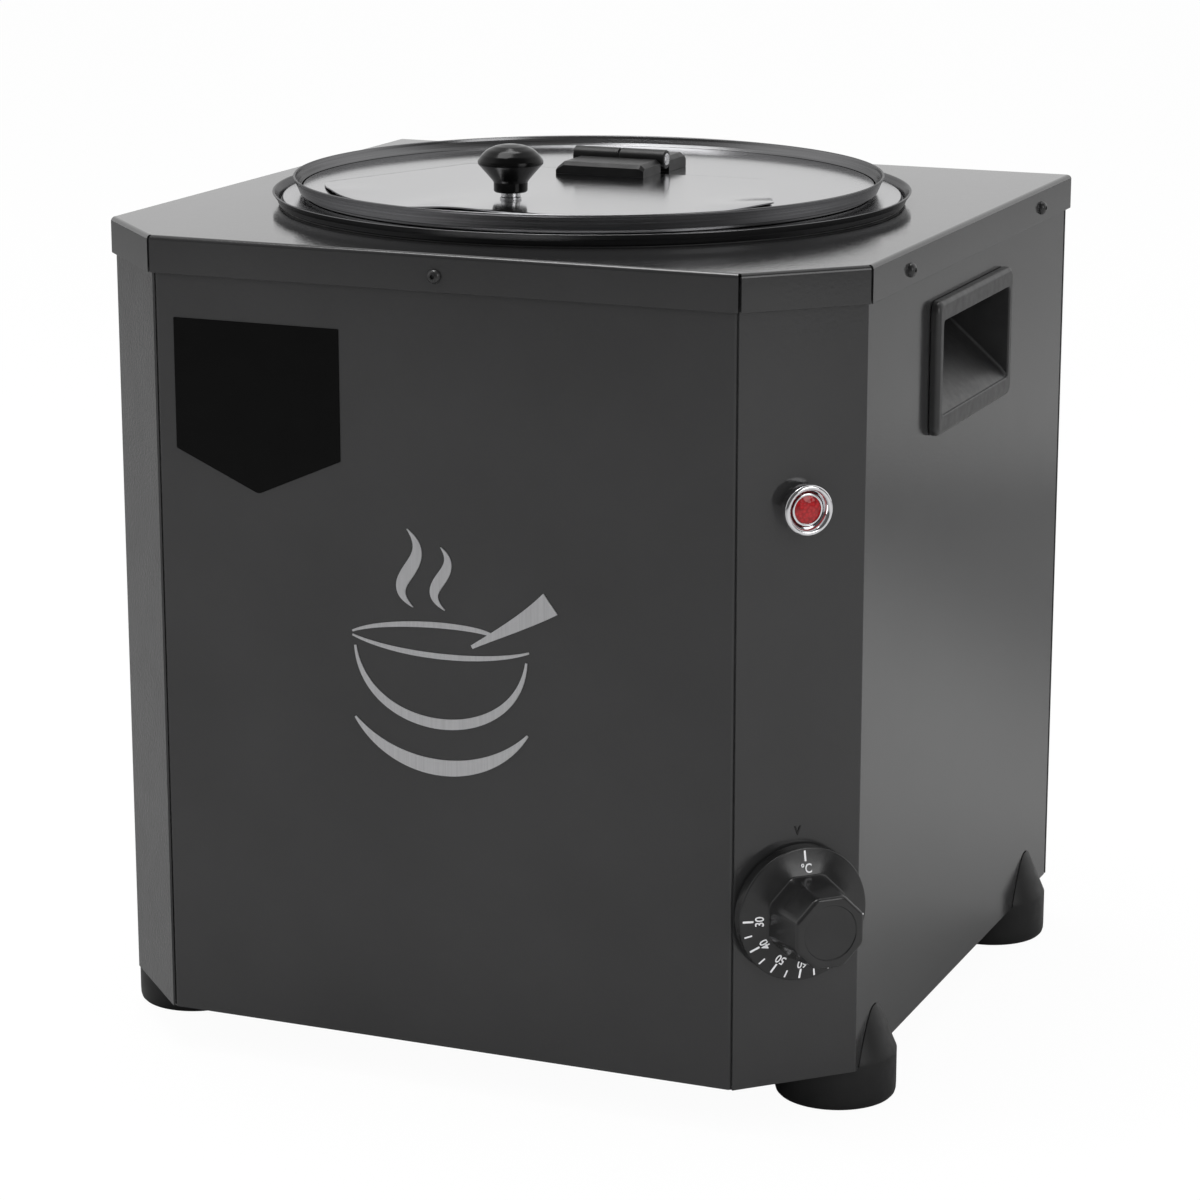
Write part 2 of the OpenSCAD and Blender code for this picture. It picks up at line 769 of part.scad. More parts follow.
module locating_ring() {
    r = pot_r - ring_gap;
    color("silver") translate([0, 0, lid_z - ring_h]) difference() {
        cylinder(r = r, h = ring_h + lid_rise, $fn = 128);
        translate([0, 0, -1]) cylinder(r = r - lid_t, h = ring_h + lid_rise + 2, $fn = 128);
    }
}

// Leaf of the hinge: side 1 is the rear leaf, side -1 the front leaf.
// Its block starts at height z; its knuckle takes the right or the left half of the barrel.
module hinge_leaf(side, z, bore_gap) {
    half = hinge_w / 2;
    knuckle_x = side > 0 ? fit / 2 : -half;
    block_top = flap_top + leaf_t;
    on_lid() translate([0, hinge_back, 0]) difference() {
        union() {
            leaf_block(side, z, block_top);
            translate([knuckle_x, 0, pin_z]) rotate([0, 90, 0])
                cylinder(r = knuckle_r, h = half - fit / 2);
            leaf_web(side, knuckle_x, half - fit / 2, block_top);
        }
        translate([-half - 1, 0, pin_z]) rotate([0, 90, 0])
            cylinder(r = pin_d / 2 + bore_gap, h = hinge_w + 2);
        for (x = [-1, 1]) translate([x * leaf_screw_pitch / 2, side * (leaf_l - leaf_edge), z - 1]) {
            cylinder(r = screw_d / 2 + snug, h = far);
            translate([0, 0, block_top - z + 1 - 2]) cylinder(r = screw_d, h = far);
        }
    }
}

// Block of a leaf with sloped ends and a sloped outer edge
module leaf_block(side, z, top) {
    half = hinge_w / 2;
    near = knuckle_r + 1;
    intersection() {
        rotate([90, 0, 90]) translate([0, 0, -half]) linear_extrude(hinge_w) polygon([
            [side * near, z], [side * leaf_l, z], [side * leaf_l, top - 2],
            [side * (leaf_l - 3), top], [side * near, top]]);
        rotate([90, 0, 0]) translate([0, 0, -leaf_l - 1]) linear_extrude(2 * leaf_l + 2) polygon([
            [-half, z], [half, z], [half, top - 3], [half - 4, top], [-half + 4, top],
            [-half, top - 3]]);
    }
}

// Web between the block and the knuckle
module leaf_web(side, x, l, top) {
    a = 35;
    rotate([90, 0, 90]) translate([0, 0, x]) linear_extrude(l) polygon([
        [side * (knuckle_r + 1), top - leaf_t + 1], [side * (knuckle_r + 1.5), top - leaf_t + 1],
        [side * (knuckle_r + 4), top],
        [side * knuckle_r * sin(a), pin_z + knuckle_r * cos(a)],
        [0, pin_z], [side * knuckle_r * cos(60), pin_z - knuckle_r * sin(60)]]);
}

module hinge_rear_leaf() {
    color("#232323") hinge_leaf(1, lid_top, 0.01);
}

module hinge_front_leaf() {
    color("#232323") hinge_leaf(-1, flap_top, pin_gap);
}

module hinge_pin() {
    color("#a8a8a8") on_lid() translate([-hinge_w / 2 + 1, hinge_back, pin_z]) rotate([0, 90, 0])
        cylinder(d = pin_d, h = hinge_w - 0.6);
}

module leaf_screw(top, bottom) {
    l = top - 2 - bottom;
    color("silver") translate([0, 0, top - 2]) {
        difference() {
            union() {
                translate([0, 0, -l - 3.4]) cylinder(d = screw_d, h = l + 3.4);
                cylinder(r = screw_d - snug, h = 1.6);
            }
            translate([-screw_d, -0.4, 0.8]) cube([2 * screw_d, 0.8, 2]);
        }
        translate([0, 0, -l - 2.6]) nut(screw_d, 2.6);
    }
}

module rear_hinge_screws() {
    at_leaf_screws(1) leaf_screw(flap_top + leaf_t, lid_floor_z);
}

module front_hinge_screws() {
    at_leaf_screws(-1) leaf_screw(flap_top + leaf_t, flap_z);
}

module lid_flap() {
    color("silver") difference() {
        on_lid() flap_shape(flap_z, flap_t, 0);
        at_leaf_screws(-1) cylinder(r = screw_d / 2 + snug, h = 2 * far);
        on_lid() translate([0, -knob_front, 0]) cylinder(r = screw_d / 2 + snug, h = 2 * far);
    }
}

knob_screw_l = 14;

module knob_stud() {
    color("silver") on_lid() translate([0, -knob_front, flap_z]) {
        translate([0, 0, -2.5]) cylinder(r = screw_d, h = 2.5);
        translate([0, 0, -0.5]) cylinder(d = screw_d, h = knob_screw_l);
        translate([0, 0, flap_t]) cylinder(d = stud_d, h = stud_h);
    }
}

module lid_knob() {
    r = knob_d / 2;
    n = neck_d / 2;
    cap = 0.32 * knob_h;     // height of the domed top
    eq = knob_h - cap;       // height of the widest place
    dome = [for (a = [0:10:80]) [r * cos(a), eq + cap * sin(a)]];
    color("#1e1e1e") on_lid() translate([0, -knob_front, flap_top + stud_h]) difference() {
        rotate_extrude($fn = 64) polygon(concat([[0, 0], [n - 0.8, 0], [n, 0.8], [n, 0.28 * knob_h],
            [n + 0.2 * (r - n), 0.36 * knob_h], [n + 0.75 * (r - n), 0.54 * knob_h],
            [r - 0.6, eq - 1.6]], dome, [[0, knob_h]]));
        translate([0, 0, -1])
            cylinder(r = screw_d / 2 + snug, h = knob_screw_l - flap_t - stud_h + 2);
    }
}

// ---- thermostat ----

// Round part of the dial, hollow behind, with a hub on the spindle
module thermostat_dial() {
    r = dial_d / 2;
    color("#242424") on_cut(dial_z) difference() {
        rotate_extrude($fn = 128) polygon([[0, dial_gap], [r, dial_gap],
            [r, dial_gap + dial_rim - 0.5], [r - 0.5, dial_gap + dial_rim],
            [grip_w / 2, grip_z], [0, grip_z]]);
        difference() {
            translate([0, 0, dial_gap - 1]) cylinder(r = r - skirt_t, h = dial_rim - skirt_t + 1);
            translate([0, 0, dial_gap - 2]) cylinder(r = spindle_r + 3, h = dial_rim + 3);
        }
        translate([0, 0, dial_gap - 1]) cylinder(r = spindle_r + snug / 3, h = grip_z);
    }
}

// Eight-sided grip that stands on the dial
module thermostat_knob() {
    flat_r = grip_w / 2 / cos(22.5);
    color("#242424") on_cut(dial_z) difference() {
        translate([0, 0, grip_z]) rotate([0, 0, 22.5])
            cylinder(r1 = 1.1 * flat_r, r2 = flat_r, h = grip_h, $fn = 8);
        translate([0, 0, grip_z - 1]) cylinder(r = spindle_r + snug / 3, h = grip_h / 2 + 1);
    }
}

module thermostat_spindle() {
    inside = sheet + snug + 12;
    color("silver") on_cut(dial_z) translate([0, 0, -inside])
        cylinder(r = spindle_r, h = inside + grip_z + grip_h / 2 - 2);
}

module thermostat_body() {
    back = -sheet - snug;
    color("#d8d4c8") on_cut(dial_z) difference() {
        union() {
            translate([-stat_w / 2, -stat_w / 2, back - stat_d]) cube([stat_w, stat_w, stat_d]);
            translate([0, 0, back - stat_d - 3]) cylinder(d = 0.6 * stat_w, h = 4);
        }
        translate([0, 0, back - 14]) cylinder(r = spindle_r + pin_gap, h = far);
        for (x = [-1, 1]) translate([x * stat_screw_pitch / 2, 0, back - 9])
            cylinder(r = screw_d / 2 + snug, h = far);
    }
}

module thermostat_screws() {
    color("silver") on_cut(dial_z) for (x = [-1, 1])
        translate([x * stat_screw_pitch / 2, 0, 0]) pan_screw(screw_d, screw_l);
}

// Round wire through a list of points
module wire(points, d) {
    for (i = [0:len(points) - 2]) hull() {
        translate(points[i]) sphere(d = d, $fn = 10);
        translate(points[i + 1]) sphere(d = d, $fn = 10);
    }
}

// Point behind the right corner face: along it, up, and depth inward
function behind_cut(x, z, depth) = [half_w - corner_cut / 2 + (x - depth) / sqrt(2),
    -half_d + corner_cut / 2 + (x + depth) / sqrt(2), foot_h + z];

stat_back = sheet + snug + stat_d;
bulb_mid = bulb_r / sqrt(2);
bulb_half = bulb_l / 2 / sqrt(2);

module thermostat_bulb() {
    head = [bulb_mid + bulb_half, -bulb_mid + bulb_half, bulb_z];
    tail = [bulb_mid - bulb_half, -bulb_mid - bulb_half, bulb_z];
    end = behind_cut(0, dial_z + 0.35 * stat_w, stat_back + capillary_d / 2 + snug / 3);
    bends = [head, head + [16, 16, -10], [end[0] - 12, end[1] + 30, end[2] + 4], end];
    color("#b87333") {
        hull() {
            translate(head) sphere(d = bulb_d, $fn = 20);
            translate(tail) sphere(d = bulb_d, $fn = 20);
        }
        wire([for (i = [0:9]) curve(bends, i / 9)], capillary_d);
    }
}

// Strap over the bulb, with a flange on each side against the well's underside
module bulb_clip() {
    r = bulb_d / 2 + snug;
    arch = function(q) [for (a = [-90:15:90]) [q * cos(a), q * sin(a)]];
    outer = concat([[-r, -r - 7], [1 - r, -r - 7], [1 - r, -r - 1]], arch(r + 1),
        [[1 - r, r + 1], [1 - r, r + 7], [-r, r + 7]]);
    inner = [for (p = arch(r)) [p[0], -p[1]]];
    color("silver") translate([bulb_mid, -bulb_mid, bulb_z]) rotate([0, 90, 45])
        translate([0, 0, -6]) linear_extrude(12)
            polygon(concat(outer, [[-r, r]], inner, [[-r, -r]]));
}

// ---- pilot light ----

module pilot_bezel() {
    r = bezel_d / 2;
    inner = pilot_hole_d / 2 + 0.4;
    seat = 0.5 * bezel_h;
    color("silver") on_cut(pilot_z) rotate_extrude($fn = 96) polygon([[inner - 0.6, snug / 3],
        [0.87 * r, snug / 3], [0.9 * r, 0.15 * bezel_h], [r, 0.75 * bezel_h],
        [0.97 * r, 0.93 * bezel_h], [0.9 * r, bezel_h], [0.82 * r, 0.96 * bezel_h],
        [inner, 0.62 * bezel_h], [inner, seat], [inner - 0.6, seat]]);
}

module pilot_lens() {
    r = pilot_hole_d / 2 + 0.3;
    z = 0.5 * bezel_h + snug / 3;
    color("#8c1c1c") on_cut(pilot_z) rotate_extrude($fn = 64) polygon([[0, z], [r, z],
        [r, z + 1], [0.8 * r, z + 1.7], [0.45 * r, z + 2.2], [0, z + 2.4]]);
}

module pilot_body() {
    color("#202020") on_cut(pilot_z) {
        translate([0, 0, -pilot_l]) cylinder(d = pilot_hole_d - 1, h = pilot_l + 0.5 * bezel_h);
        for (x = [-1, 1]) translate([3 * x - 0.4, -2, -pilot_l - 6]) cube([0.8, 4, 7]);
    }
}

module pilot_nut() {
    color("#202020") on_cut(pilot_z) translate([0, 0, -sheet - snug - 4]) difference() {
        cylinder(r = pilot_hole_d / 2 + 3, h = 4, $fn = 6);
        translate([0, 0, -1]) cylinder(d = pilot_hole_d - 1 + snug, h = 6);
    }
}

// ---- cable entry ----

module cable_gland() {
    hex_t = 4;
    color("#202020") translate([gland_x, half_d, gland_h]) rotate([-90, 0, 0]) difference() {
        union() {
            translate([0, 0, -gland_in]) cylinder(r = gland_r, h = gland_in + 1);
            translate([0, 0, snug / 3]) cylinder(r = gland_r + 4, h = hex_t, $fn = 6);
            rotate_extrude() polygon([[0, 1], [gland_r + 1.5, 1], [gland_r + 1.5, gland_out - 5],
                [gland_r - 0.5, gland_out], [0, gland_out]]);
        }
        translate([0, 0, -gland_in - 1]) cylinder(d = gland_bore_d, h = gland_in + gland_out + 2);
    }
}

module gland_nut() {
    color("#202020") translate([gland_x, half_d - sheet - snug, gland_h]) rotate([90, 0, 0])
        difference() {
            cylinder(r = gland_r + 4, h = 4, $fn = 6);
            translate([0, 0, -1]) cylinder(r = gland_r + snug, h = 6);
        }
}

module terminal_block() {
    color("#e0ddd0") translate([gland_x - term_w / 2, term_y - term_d / 2, base_top + snug / 3])
        difference() {
            cube([term_w, term_d, term_h]);
            for (i = [0:2]) translate([term_w * (i + 0.5) / 3, term_d / 2, term_h - 5])
                cylinder(d = 5, h = 6);
        }
}

module wiring() {
    top = base_top + term_h + wire_d / 2 + snug;
    low = clamp_z - 22;
    live = [gland_x - term_w / 3, term_y, top];
    neutral = [gland_x + term_w / 3, term_y, top];
    spade_z = element_z - terminal_drop - wire_d;
    element_in = [terminal_x, terminal_y, spade_z];
    element_out = [-terminal_x, terminal_y, spade_z];
    cutout = [-element_r / 2, -element_r / 2, plate_z - 18];
    stat_in = behind_cut(-8, dial_z - 0.3 * stat_w, stat_back + wire_d / 2 + snug);
    stat_out = behind_cut(8, dial_z - 0.3 * stat_w, stat_back + wire_d / 2 + snug);
    lamp = behind_cut(0, pilot_z, 36 + wire_d);
    color("#902020") {
        wire([live, live + [0, -20, 14], stat_in + [-30, 30, -10], stat_in], wire_d);
        wire([stat_out, stat_out + [-24, 12, -14], element_in + [0, 0, -14], element_in], wire_d);
        wire([neutral, neutral + [0, -14, 22], [-40, 40, low], cutout + [0, 0, -10], cutout],
            wire_d);
        wire([cutout + [8, -6, 0], cutout + [8, -12, -8], element_out + [0, 0, -8], element_out],
            wire_d);
        wire([lamp, lamp + [2, 10, -24], stat_out + [8, 26, 40], stat_out + [6, 6, 8]],
            wire_d);
    }
}

front_panel();
side_panel(-1);  // left_side_panel
side_panel(1);  // right_side_panel
back_panel();
base_plate();
top_cover();
cover_screws();
back_screws();
foot(0);  // foot_front_left
foot(1);  // foot_front_right
foot(2);  // foot_back_left
foot(3);  // foot_back_right
foot_screws();
foot_nuts();
mirror([1, 0, 0]) handle();  // handle_left
handle();  // handle_right
badge_plate();
bowl_emblem();
dial_pointer();
well();
well_rim();
well_gasket();
insulation_jacket();
heater_stud();
heating_plate();
heating_element();
heater_clamp();
heater_nut();
thermostat_body();
thermostat_screws();
thermostat_bulb();
bulb_clip();
overheat_cutout();
pilot_bezel();
pilot_lens();
pilot_body();
pilot_nut();
cable_gland();
gland_nut();
terminal_block();
wiring();
thermostat_dial();
thermostat_knob();
thermostat_spindle();
pot();
lid_pan();
locating_ring();
hinge_rear_leaf();
hinge_pin();
rear_hinge_screws();
lid_flap();
hinge_front_leaf();
front_hinge_screws();
knob_stud();
lid_knob();
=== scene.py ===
import math

import bmesh
import bpy
from mathutils import Matrix, Vector


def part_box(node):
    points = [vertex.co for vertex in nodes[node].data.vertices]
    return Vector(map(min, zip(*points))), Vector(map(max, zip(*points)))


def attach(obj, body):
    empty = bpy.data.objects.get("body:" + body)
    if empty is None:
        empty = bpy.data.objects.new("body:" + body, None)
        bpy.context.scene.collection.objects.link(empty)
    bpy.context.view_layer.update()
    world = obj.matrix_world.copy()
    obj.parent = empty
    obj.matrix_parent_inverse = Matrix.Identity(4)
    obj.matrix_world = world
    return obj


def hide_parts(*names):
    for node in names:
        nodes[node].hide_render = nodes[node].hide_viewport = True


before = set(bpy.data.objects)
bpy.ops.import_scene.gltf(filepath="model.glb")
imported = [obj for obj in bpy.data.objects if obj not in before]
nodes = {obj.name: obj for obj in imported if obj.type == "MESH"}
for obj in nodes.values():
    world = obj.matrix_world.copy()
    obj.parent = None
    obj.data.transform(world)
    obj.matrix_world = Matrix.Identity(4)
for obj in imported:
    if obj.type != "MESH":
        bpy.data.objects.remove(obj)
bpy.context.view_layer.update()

# ---------------------------------------------------------------- sizes, mm and degrees
MM = 0.001                                  # a millimetre in Blender's metres
Z0, FOOT = 375.0, 20.0                      # cover's top face, casing's bottom edge
HALF_W, HALF_D, CUT = 178.0, 170.0, 41.5    # casing's half width, half depth and corner cut
SHEET, STEEL, LID_SHEET = 1.0, 0.8, 0.9     # sheet thickness of the casing, the pot and the lid
PLAY, GAP = 0.3, 1.0                        # between two sheets, between skirt and panels
SKIRT, BEND = 16.3, 2.0                     # cover's skirt: its depth, its upper edge's radius
MOUTH_R = 134.9                             # opening in the cover
RETURN = 14.0                               # width of the panels' bent-in edges
HANDLE_Y, HANDLE_Z = 12.0, 316.0            # middle of the handles
HANDLE_W, HANDLE_H = 49.0, 21.0             # half length and half height of their recess
EMBLEM_Z, EMBLEM_R = 206.0, 42.0            # emblem's middle line, half the bowl's width
DIAL_Z, LAMP_Z = 98.5, 275.0                # axes of the dial and of the pilot light
WELL_R, WELL_FLOOR, WELL_TOP = 133.8, 131.2, 376.6      # well's bore, its floor and its flange
POT_R, POT_FLOOR, POT_TOP = 125.0, 144.0, 379.0         # pot's bore, its floor and its rim
LID_Z, LID_FLOOR, LID_FLOOR_R = 379.3, 382.4, 132.3     # lid's lower edge, its floor and its radius
FLAP_Z, FLAP_TOP, FLAP_R = 383.6, 384.4, 121.5          # flap's two faces and its round front
FLAP_SLANT, FLAP_CORNER = 22.0, 25.5        # lean of the flap's sides, where they meet the front
FLAP_BACK, OVERLAP = 7.0, 7.0               # pin to the flap's back edge, flap on the lid's floor
PIN_V, PIN_Z, KNOB_V = 41.5, 390.0, -81.0   # hinge pin and knob in the lid's frame

H = math.sqrt(0.5)
LID = Matrix.Translation((-1.6, 0, 0))      # the lid lies a little off the pot's axis
KNOB_SHIFT, HINGE_SHIFT = -5.0, -2.4        # so do the knob and the hinge


def frame_at(x, y, z, ax, ay, az):
    """Places local X, Y and Z along three row directions."""
    m = Matrix((ax, ay, az)).transposed().to_4x4()
    m.translation = (x, y, z)
    return m


def on_cut(z):
    return frame_at(HALF_W - CUT / 2, -HALF_D + CUT / 2, z, (H, H, 0), (0, 0, 1), (H, -H, 0))


def on_front(x, z):
    return frame_at(x, -HALF_D, z, (1, 0, 0), (0, 0, 1), (0, -1, 0))


def on_side(side, y, z):
    return frame_at(side * HALF_W, y, z, (0, side, 0), (0, 0, 1), (side, 0, 0))


def along_pin(u):
    return frame_at(u, 0, PIN_Z, (0, 1, 0), (0, 0, 1), (1, 0, 0))


# ---------------------------------------------------------------- materials
# Texture scales count per metre, and bump distances are in metres.
def feed(nt, node, inputs):
    """Fills a node's inputs: a socket is linked, anything else is a plain value."""
    for key, value in inputs.items():
        if isinstance(value, bpy.types.NodeSocket):
            nt.links.new(value, node.inputs[key])
        else:
            node.inputs[key].default_value = value


def make(nt, kind, inputs=None, **settings):
    """A new shader node, with its own settings made before its inputs."""
    node = nt.nodes.new("ShaderNode" + kind)
    for key, value in settings.items():
        setattr(node, key, value)
    feed(nt, node, inputs or {})
    return node


def noise(nt, scale, detail=2.0, roughness=0.5, stretch=(1, 1, 1)):
    coord = make(nt, "TexCoord")
    place = make(nt, "Mapping", {"Vector": coord.outputs["Object"], "Scale": stretch})
    tex = make(nt, "TexNoise", {"Vector": place.outputs["Vector"], "Scale": scale,
                                "Detail": detail, "Roughness": roughness})
    return tex.outputs["Fac"]


def spread(nt, value, lo, hi, from_lo=0.3, from_hi=0.7, curve="LINEAR"):
    """Maps a value from one range to another."""
    node = make(nt, "MapRange", {"Value": value, "From Min": from_lo, "From Max": from_hi,
                                 "To Min": lo, "To Max": hi}, interpolation_type=curve)
    return node.outputs["Result"]


def colour(tone):
    """Red, green, blue and alpha; a single number is a grey with a touch of blue."""
    return (*tone, 1) if isinstance(tone, tuple) else (tone, tone, tone * 1.02, 1)


def tint(nt, value, dark, light):
    node = make(nt, "Mix", {"Factor": value, "A": colour(dark), "B": colour(light)}, data_type="RGBA")
    return node.outputs["Result"]


def bump(nt, bsdf, height, strength, distance, before=None):
    node = make(nt, "Bump", {"Height": height, "Strength": strength, "Distance": distance})
    if before is not None:
        nt.links.new(before.outputs["Normal"], node.inputs["Normal"])
    nt.links.new(node.outputs["Normal"], bsdf.inputs["Normal"])
    return node


def new_material(name):
    mat = bpy.data.materials.new(name)
    mat.use_nodes = True
    nt = mat.node_tree
    return mat, nt, nt.nodes["Principled BSDF"]


def paint(name, dark, light, rough, peel, grain):
    """Powder coat: a slow drift of tone, a fine orange peel and a finer grain."""
    mat, nt, bsdf = new_material(name)
    feed(nt, bsdf, {"Base Color": tint(nt, spread(nt, noise(nt, 14, 3), 0, 1), dark, light),
                    "Roughness": spread(nt, noise(nt, 60, 4), *rough), "IOR": 1.5})
    first = bump(nt, bsdf, noise(nt, 620, 2, 0.55), peel, 0.0004)
    bump(nt, bsdf, noise(nt, 2600, 1), grain, 0.0001, first)
    return mat


def plastic(name, dark, light, rough, grain=0.12, scale=1500, gloss=0.5):
    """Moulded plastic, rubber or print, with a grain of its own."""
    mat, nt, bsdf = new_material(name)
    feed(nt, bsdf, {"Base Color": tint(nt, spread(nt, noise(nt, 90, 3), 0, 1), dark, light),
                    "Roughness": spread(nt, noise(nt, 220, 3), *rough), "IOR": 1.5,
                    "Specular IOR Level": gloss})
    bump(nt, bsdf, noise(nt, scale, 2), grain, 0.0001)
    return mat


def metal(name, dark, light, rough, scale, lines, stretch=(1, 1, 1), aniso=0.0, edge=1.0):
    """Metal with fine lines along one direction, and tone and gloss that vary with them."""
    mat, nt, bsdf = new_material(name)
    brush = noise(nt, scale, 3, 0.6, stretch)
    feed(nt, bsdf, {"Base Color": tint(nt, spread(nt, brush, 0, 1), dark, light),
                    "Roughness": spread(nt, brush, *rough), "Metallic": 1.0,
                    "Anisotropic": aniso, "Specular Tint": (edge, edge, edge, 1)})
    bump(nt, bsdf, brush, lines, 0.00005)
    return mat


def red_lens(name):
    """Red plastic with a pattern of small cells."""
    mat, nt, bsdf = new_material(name)
    coord = make(nt, "TexCoord")
    cells = make(nt, "TexVoronoi", {"Vector": coord.outputs["Object"], "Scale": 650})
    dist = cells.outputs["Distance"]
    shade = spread(nt, dist, 0, 1, 0, 0.8)
    feed(nt, bsdf, {"Base Color": tint(nt, shade, (0.42, 0.012, 0.016), (0.2, 0.004, 0.006)),
                    "Roughness": spread(nt, noise(nt, 300), 0.12, 0.2)})
    bump(nt, bsdf, dist, 0.35, 0.0003)
    return mat


PAINT = paint("panel_paint", 0.020, 0.024, (0.10, 0.15), 0.10, 0.05)
PAINT_PEEL = paint("corner_paint", 0.020, 0.024, (0.12, 0.2), 0.55, 0.2)
COVER = paint("cover_paint", 0.018, 0.022, (0.05, 0.08), 0.10, 0.12)
STEEL_LID = metal("lid_steel", 0.56, 0.62, (0.10, 0.15), 1500, 0.08, (0.05, 1, 1), 0.2, 0.8)
# painted shade: a darker copy of the stainless steel, with dimmer edges, standing in for the dark reflections
# on the rims and in the well
STEEL_RIM_SHADED = metal("rim_steel_painted_shade", 0.15, 0.23, (0.18, 0.28), 260, 0.15, (0.04, 0.04, 5), edge=0.5)
STEEL_POT = metal("stainless", 0.50, 0.58, (0.14, 0.2), 300, 0.1, (0.05, 0.05, 4), edge=0.8)
ZINC = metal("zinc", 0.5, 0.66, (0.22, 0.34), 900, 0.2)
CHROME = metal("chrome", 0.78, 0.84, (0.04, 0.07), 300, 0.02)
EMBLEM = metal("emblem_metal", 0.60, 0.70, (0.30, 0.38), 1400, 0.12, (1, 1, 0.02), 0.4)
COPPER = metal("copper", (0.62, 0.32, 0.2), (0.75, 0.42, 0.28), (0.25, 0.35), 500, 0.1)
ALU = metal("plate_aluminium", 0.6, 0.72, (0.3, 0.42), 300, 0.2)
ELEMENT = metal("element_steel", 0.16, 0.26, (0.4, 0.55), 300, 0.2)
SCREW = plastic("screw_black", 0.010, 0.016, (0.22, 0.32))
FOOT_MAT = plastic("foot_plastic", 0.006, 0.009, (0.4, 0.5), 0.2, 900, gloss=0.35)
HANDLE_MAT = plastic("handle_plastic", 0.012, 0.018, (0.32, 0.42), 0.3, 1100)
KNOB_MAT = plastic("knob_plastic", 0.002, 0.003, (0.14, 0.2), 0.06, 1600, gloss=0.15)
DIAL_MAT = plastic("dial_plastic", 0.010, 0.014, (0.18, 0.26), 0.15, 1400)
HINGE_MAT = plastic("hinge_plastic", 0.004, 0.007, (0.3, 0.4), 0.06, 1400, gloss=0.25)
BADGE = plastic("badge_gloss", (0.0008,) * 3, (0.0012,) * 3, (0.08, 0.12), 0.03, gloss=0.12)
PRINT = plastic("print_white", 0.74, 0.80, (0.45, 0.55), 0.05)
INK = plastic("print_black", 0.002, 0.003, (0.5, 0.6), 0.05)
SEAL = plastic("seal_rubber", 0.012, 0.02, (0.5, 0.65), 0.3)
DARK = plastic("black_plastic", 0.012, 0.018, (0.3, 0.42), 0.2)
CERAMIC = plastic("ceramic", (0.55, 0.52, 0.46), (0.62, 0.6, 0.54), (0.5, 0.65), 0.3)
WOOL = plastic("wool", (0.42, 0.38, 0.27), (0.6, 0.55, 0.42), (0.8, 0.95), 1.0, 500)
WIRE = plastic("wire_insulation", (0.24, 0.02, 0.02), (0.3, 0.03, 0.03), (0.45, 0.55))
LENS = red_lens("lens_red")

CAD_LOOKS = (
    (PAINT, "front_panel left_side_panel right_side_panel back_panel base_plate"),
    (COVER, "top_cover"),
    (SCREW, "cover_screws back_screws"),
    (FOOT_MAT, "foot_front_left foot_front_right foot_back_left foot_back_right"),
    (HANDLE_MAT, "handle_left handle_right"),
    (BADGE, "badge_plate"),
    (EMBLEM, "bowl_emblem"),
    (INK, "dial_pointer"),
    (STEEL_RIM_SHADED, "well well_rim"),
    (SEAL, "well_gasket"),
    (WOOL, "insulation_jacket"),
    (ALU, "heating_plate"),
    (ELEMENT, "heating_element"),
    (CERAMIC, "thermostat_body terminal_block"),
    (COPPER, "thermostat_bulb"),
    (DARK, "overheat_cutout pilot_body pilot_nut cable_gland gland_nut"),
    (CHROME, "pilot_bezel"),
    (LENS, "pilot_lens"),
    (WIRE, "wiring"),
    (DIAL_MAT, "thermostat_dial thermostat_knob"),
    (STEEL_POT, "pot"),
    (STEEL_LID, "lid_pan locating_ring lid_flap"),
    (HINGE_MAT, "hinge_rear_leaf hinge_front_leaf"),
    (KNOB_MAT, "lid_knob"),
    (ZINC, "foot_screws foot_nuts heater_stud heater_clamp heater_nut thermostat_screws bulb_clip "
           "thermostat_spindle hinge_pin rear_hinge_screws front_hinge_screws knob_stud"),
)
for mat, names in CAD_LOOKS:
    for name in names.split():
        data = nodes[name].data
        data.materials.clear()
        data.materials.append(mat)


# ---------------------------------------------------------------- outlines
def sides(points):
    """The sides of a closed outline."""
    return zip(points, points[1:] + points[:1])


def unit(v):
    return Vector(v).normalized()


def round_outline(r, steps=96):
    return [(r * math.cos(2 * math.pi * i / steps), r * math.sin(2 * math.pi * i / steps))
            for i in range(steps)]


def polygon(count, apothem, cap=math.inf, steps=96):
    """A regular polygon with this many sides, whose corners reach out to cap at most."""
    out = []
    for i in range(steps):
        t = 2 * math.pi * i / steps
        u = (t + math.pi / count) % (2 * math.pi / count) - math.pi / count
        r = min(apothem / math.cos(u), cap)
        out.append((r * math.cos(t), r * math.sin(t)))
    return out


def at_height(points, z):
    return [(x, y, z) for x, y in points]


def circle(r, z, steps=96):
    return at_height(round_outline(r, steps), z)


def quarter(n, first=0):
    """Steps of a quarter round of radius 1, as distances from its two tangents."""
    for k in range(first, n + 1):
        a = math.pi / 2 * k / n
        yield 1 - math.sin(a), 1 - math.cos(a)


def fillet(points, radii, n, closed=True):
    """Rounds the corners of a 2D line; radii is one radius or one per point."""
    out = []
    m = len(points)
    for i, p in enumerate(points):
        r = radii[i] if isinstance(radii, (list, tuple)) else radii
        p = Vector(p)
        if r <= 0 or (not closed and i in (0, m - 1)):
            out.append(tuple(p))
            continue
        a, b = Vector(points[i - 1]) - p, Vector(points[(i + 1) % m]) - p
        la, lb = a.length, b.length
        a.normalize()
        b.normalize()
        half = math.acos(max(-1, min(1, a.dot(b)))) / 2
        if half > math.radians(87):
            out.append(tuple(p))
            continue
        cut = min(r / math.tan(half), la * 0.48, lb * 0.48)
        c = p + (a + b).normalized() * (cut * math.tan(half) / math.sin(half))
        v0, v1 = p + a * cut - c, p + b * cut - c
        turn = math.atan2(v0.x * v1.y - v0.y * v1.x, v0.dot(v1))
        for k in range(n + 1):
            t = turn * k / n
            out.append((c.x + v0.x * math.cos(t) - v0.y * math.sin(t),
                        c.y + v0.x * math.sin(t) + v0.y * math.cos(t)))
    return out


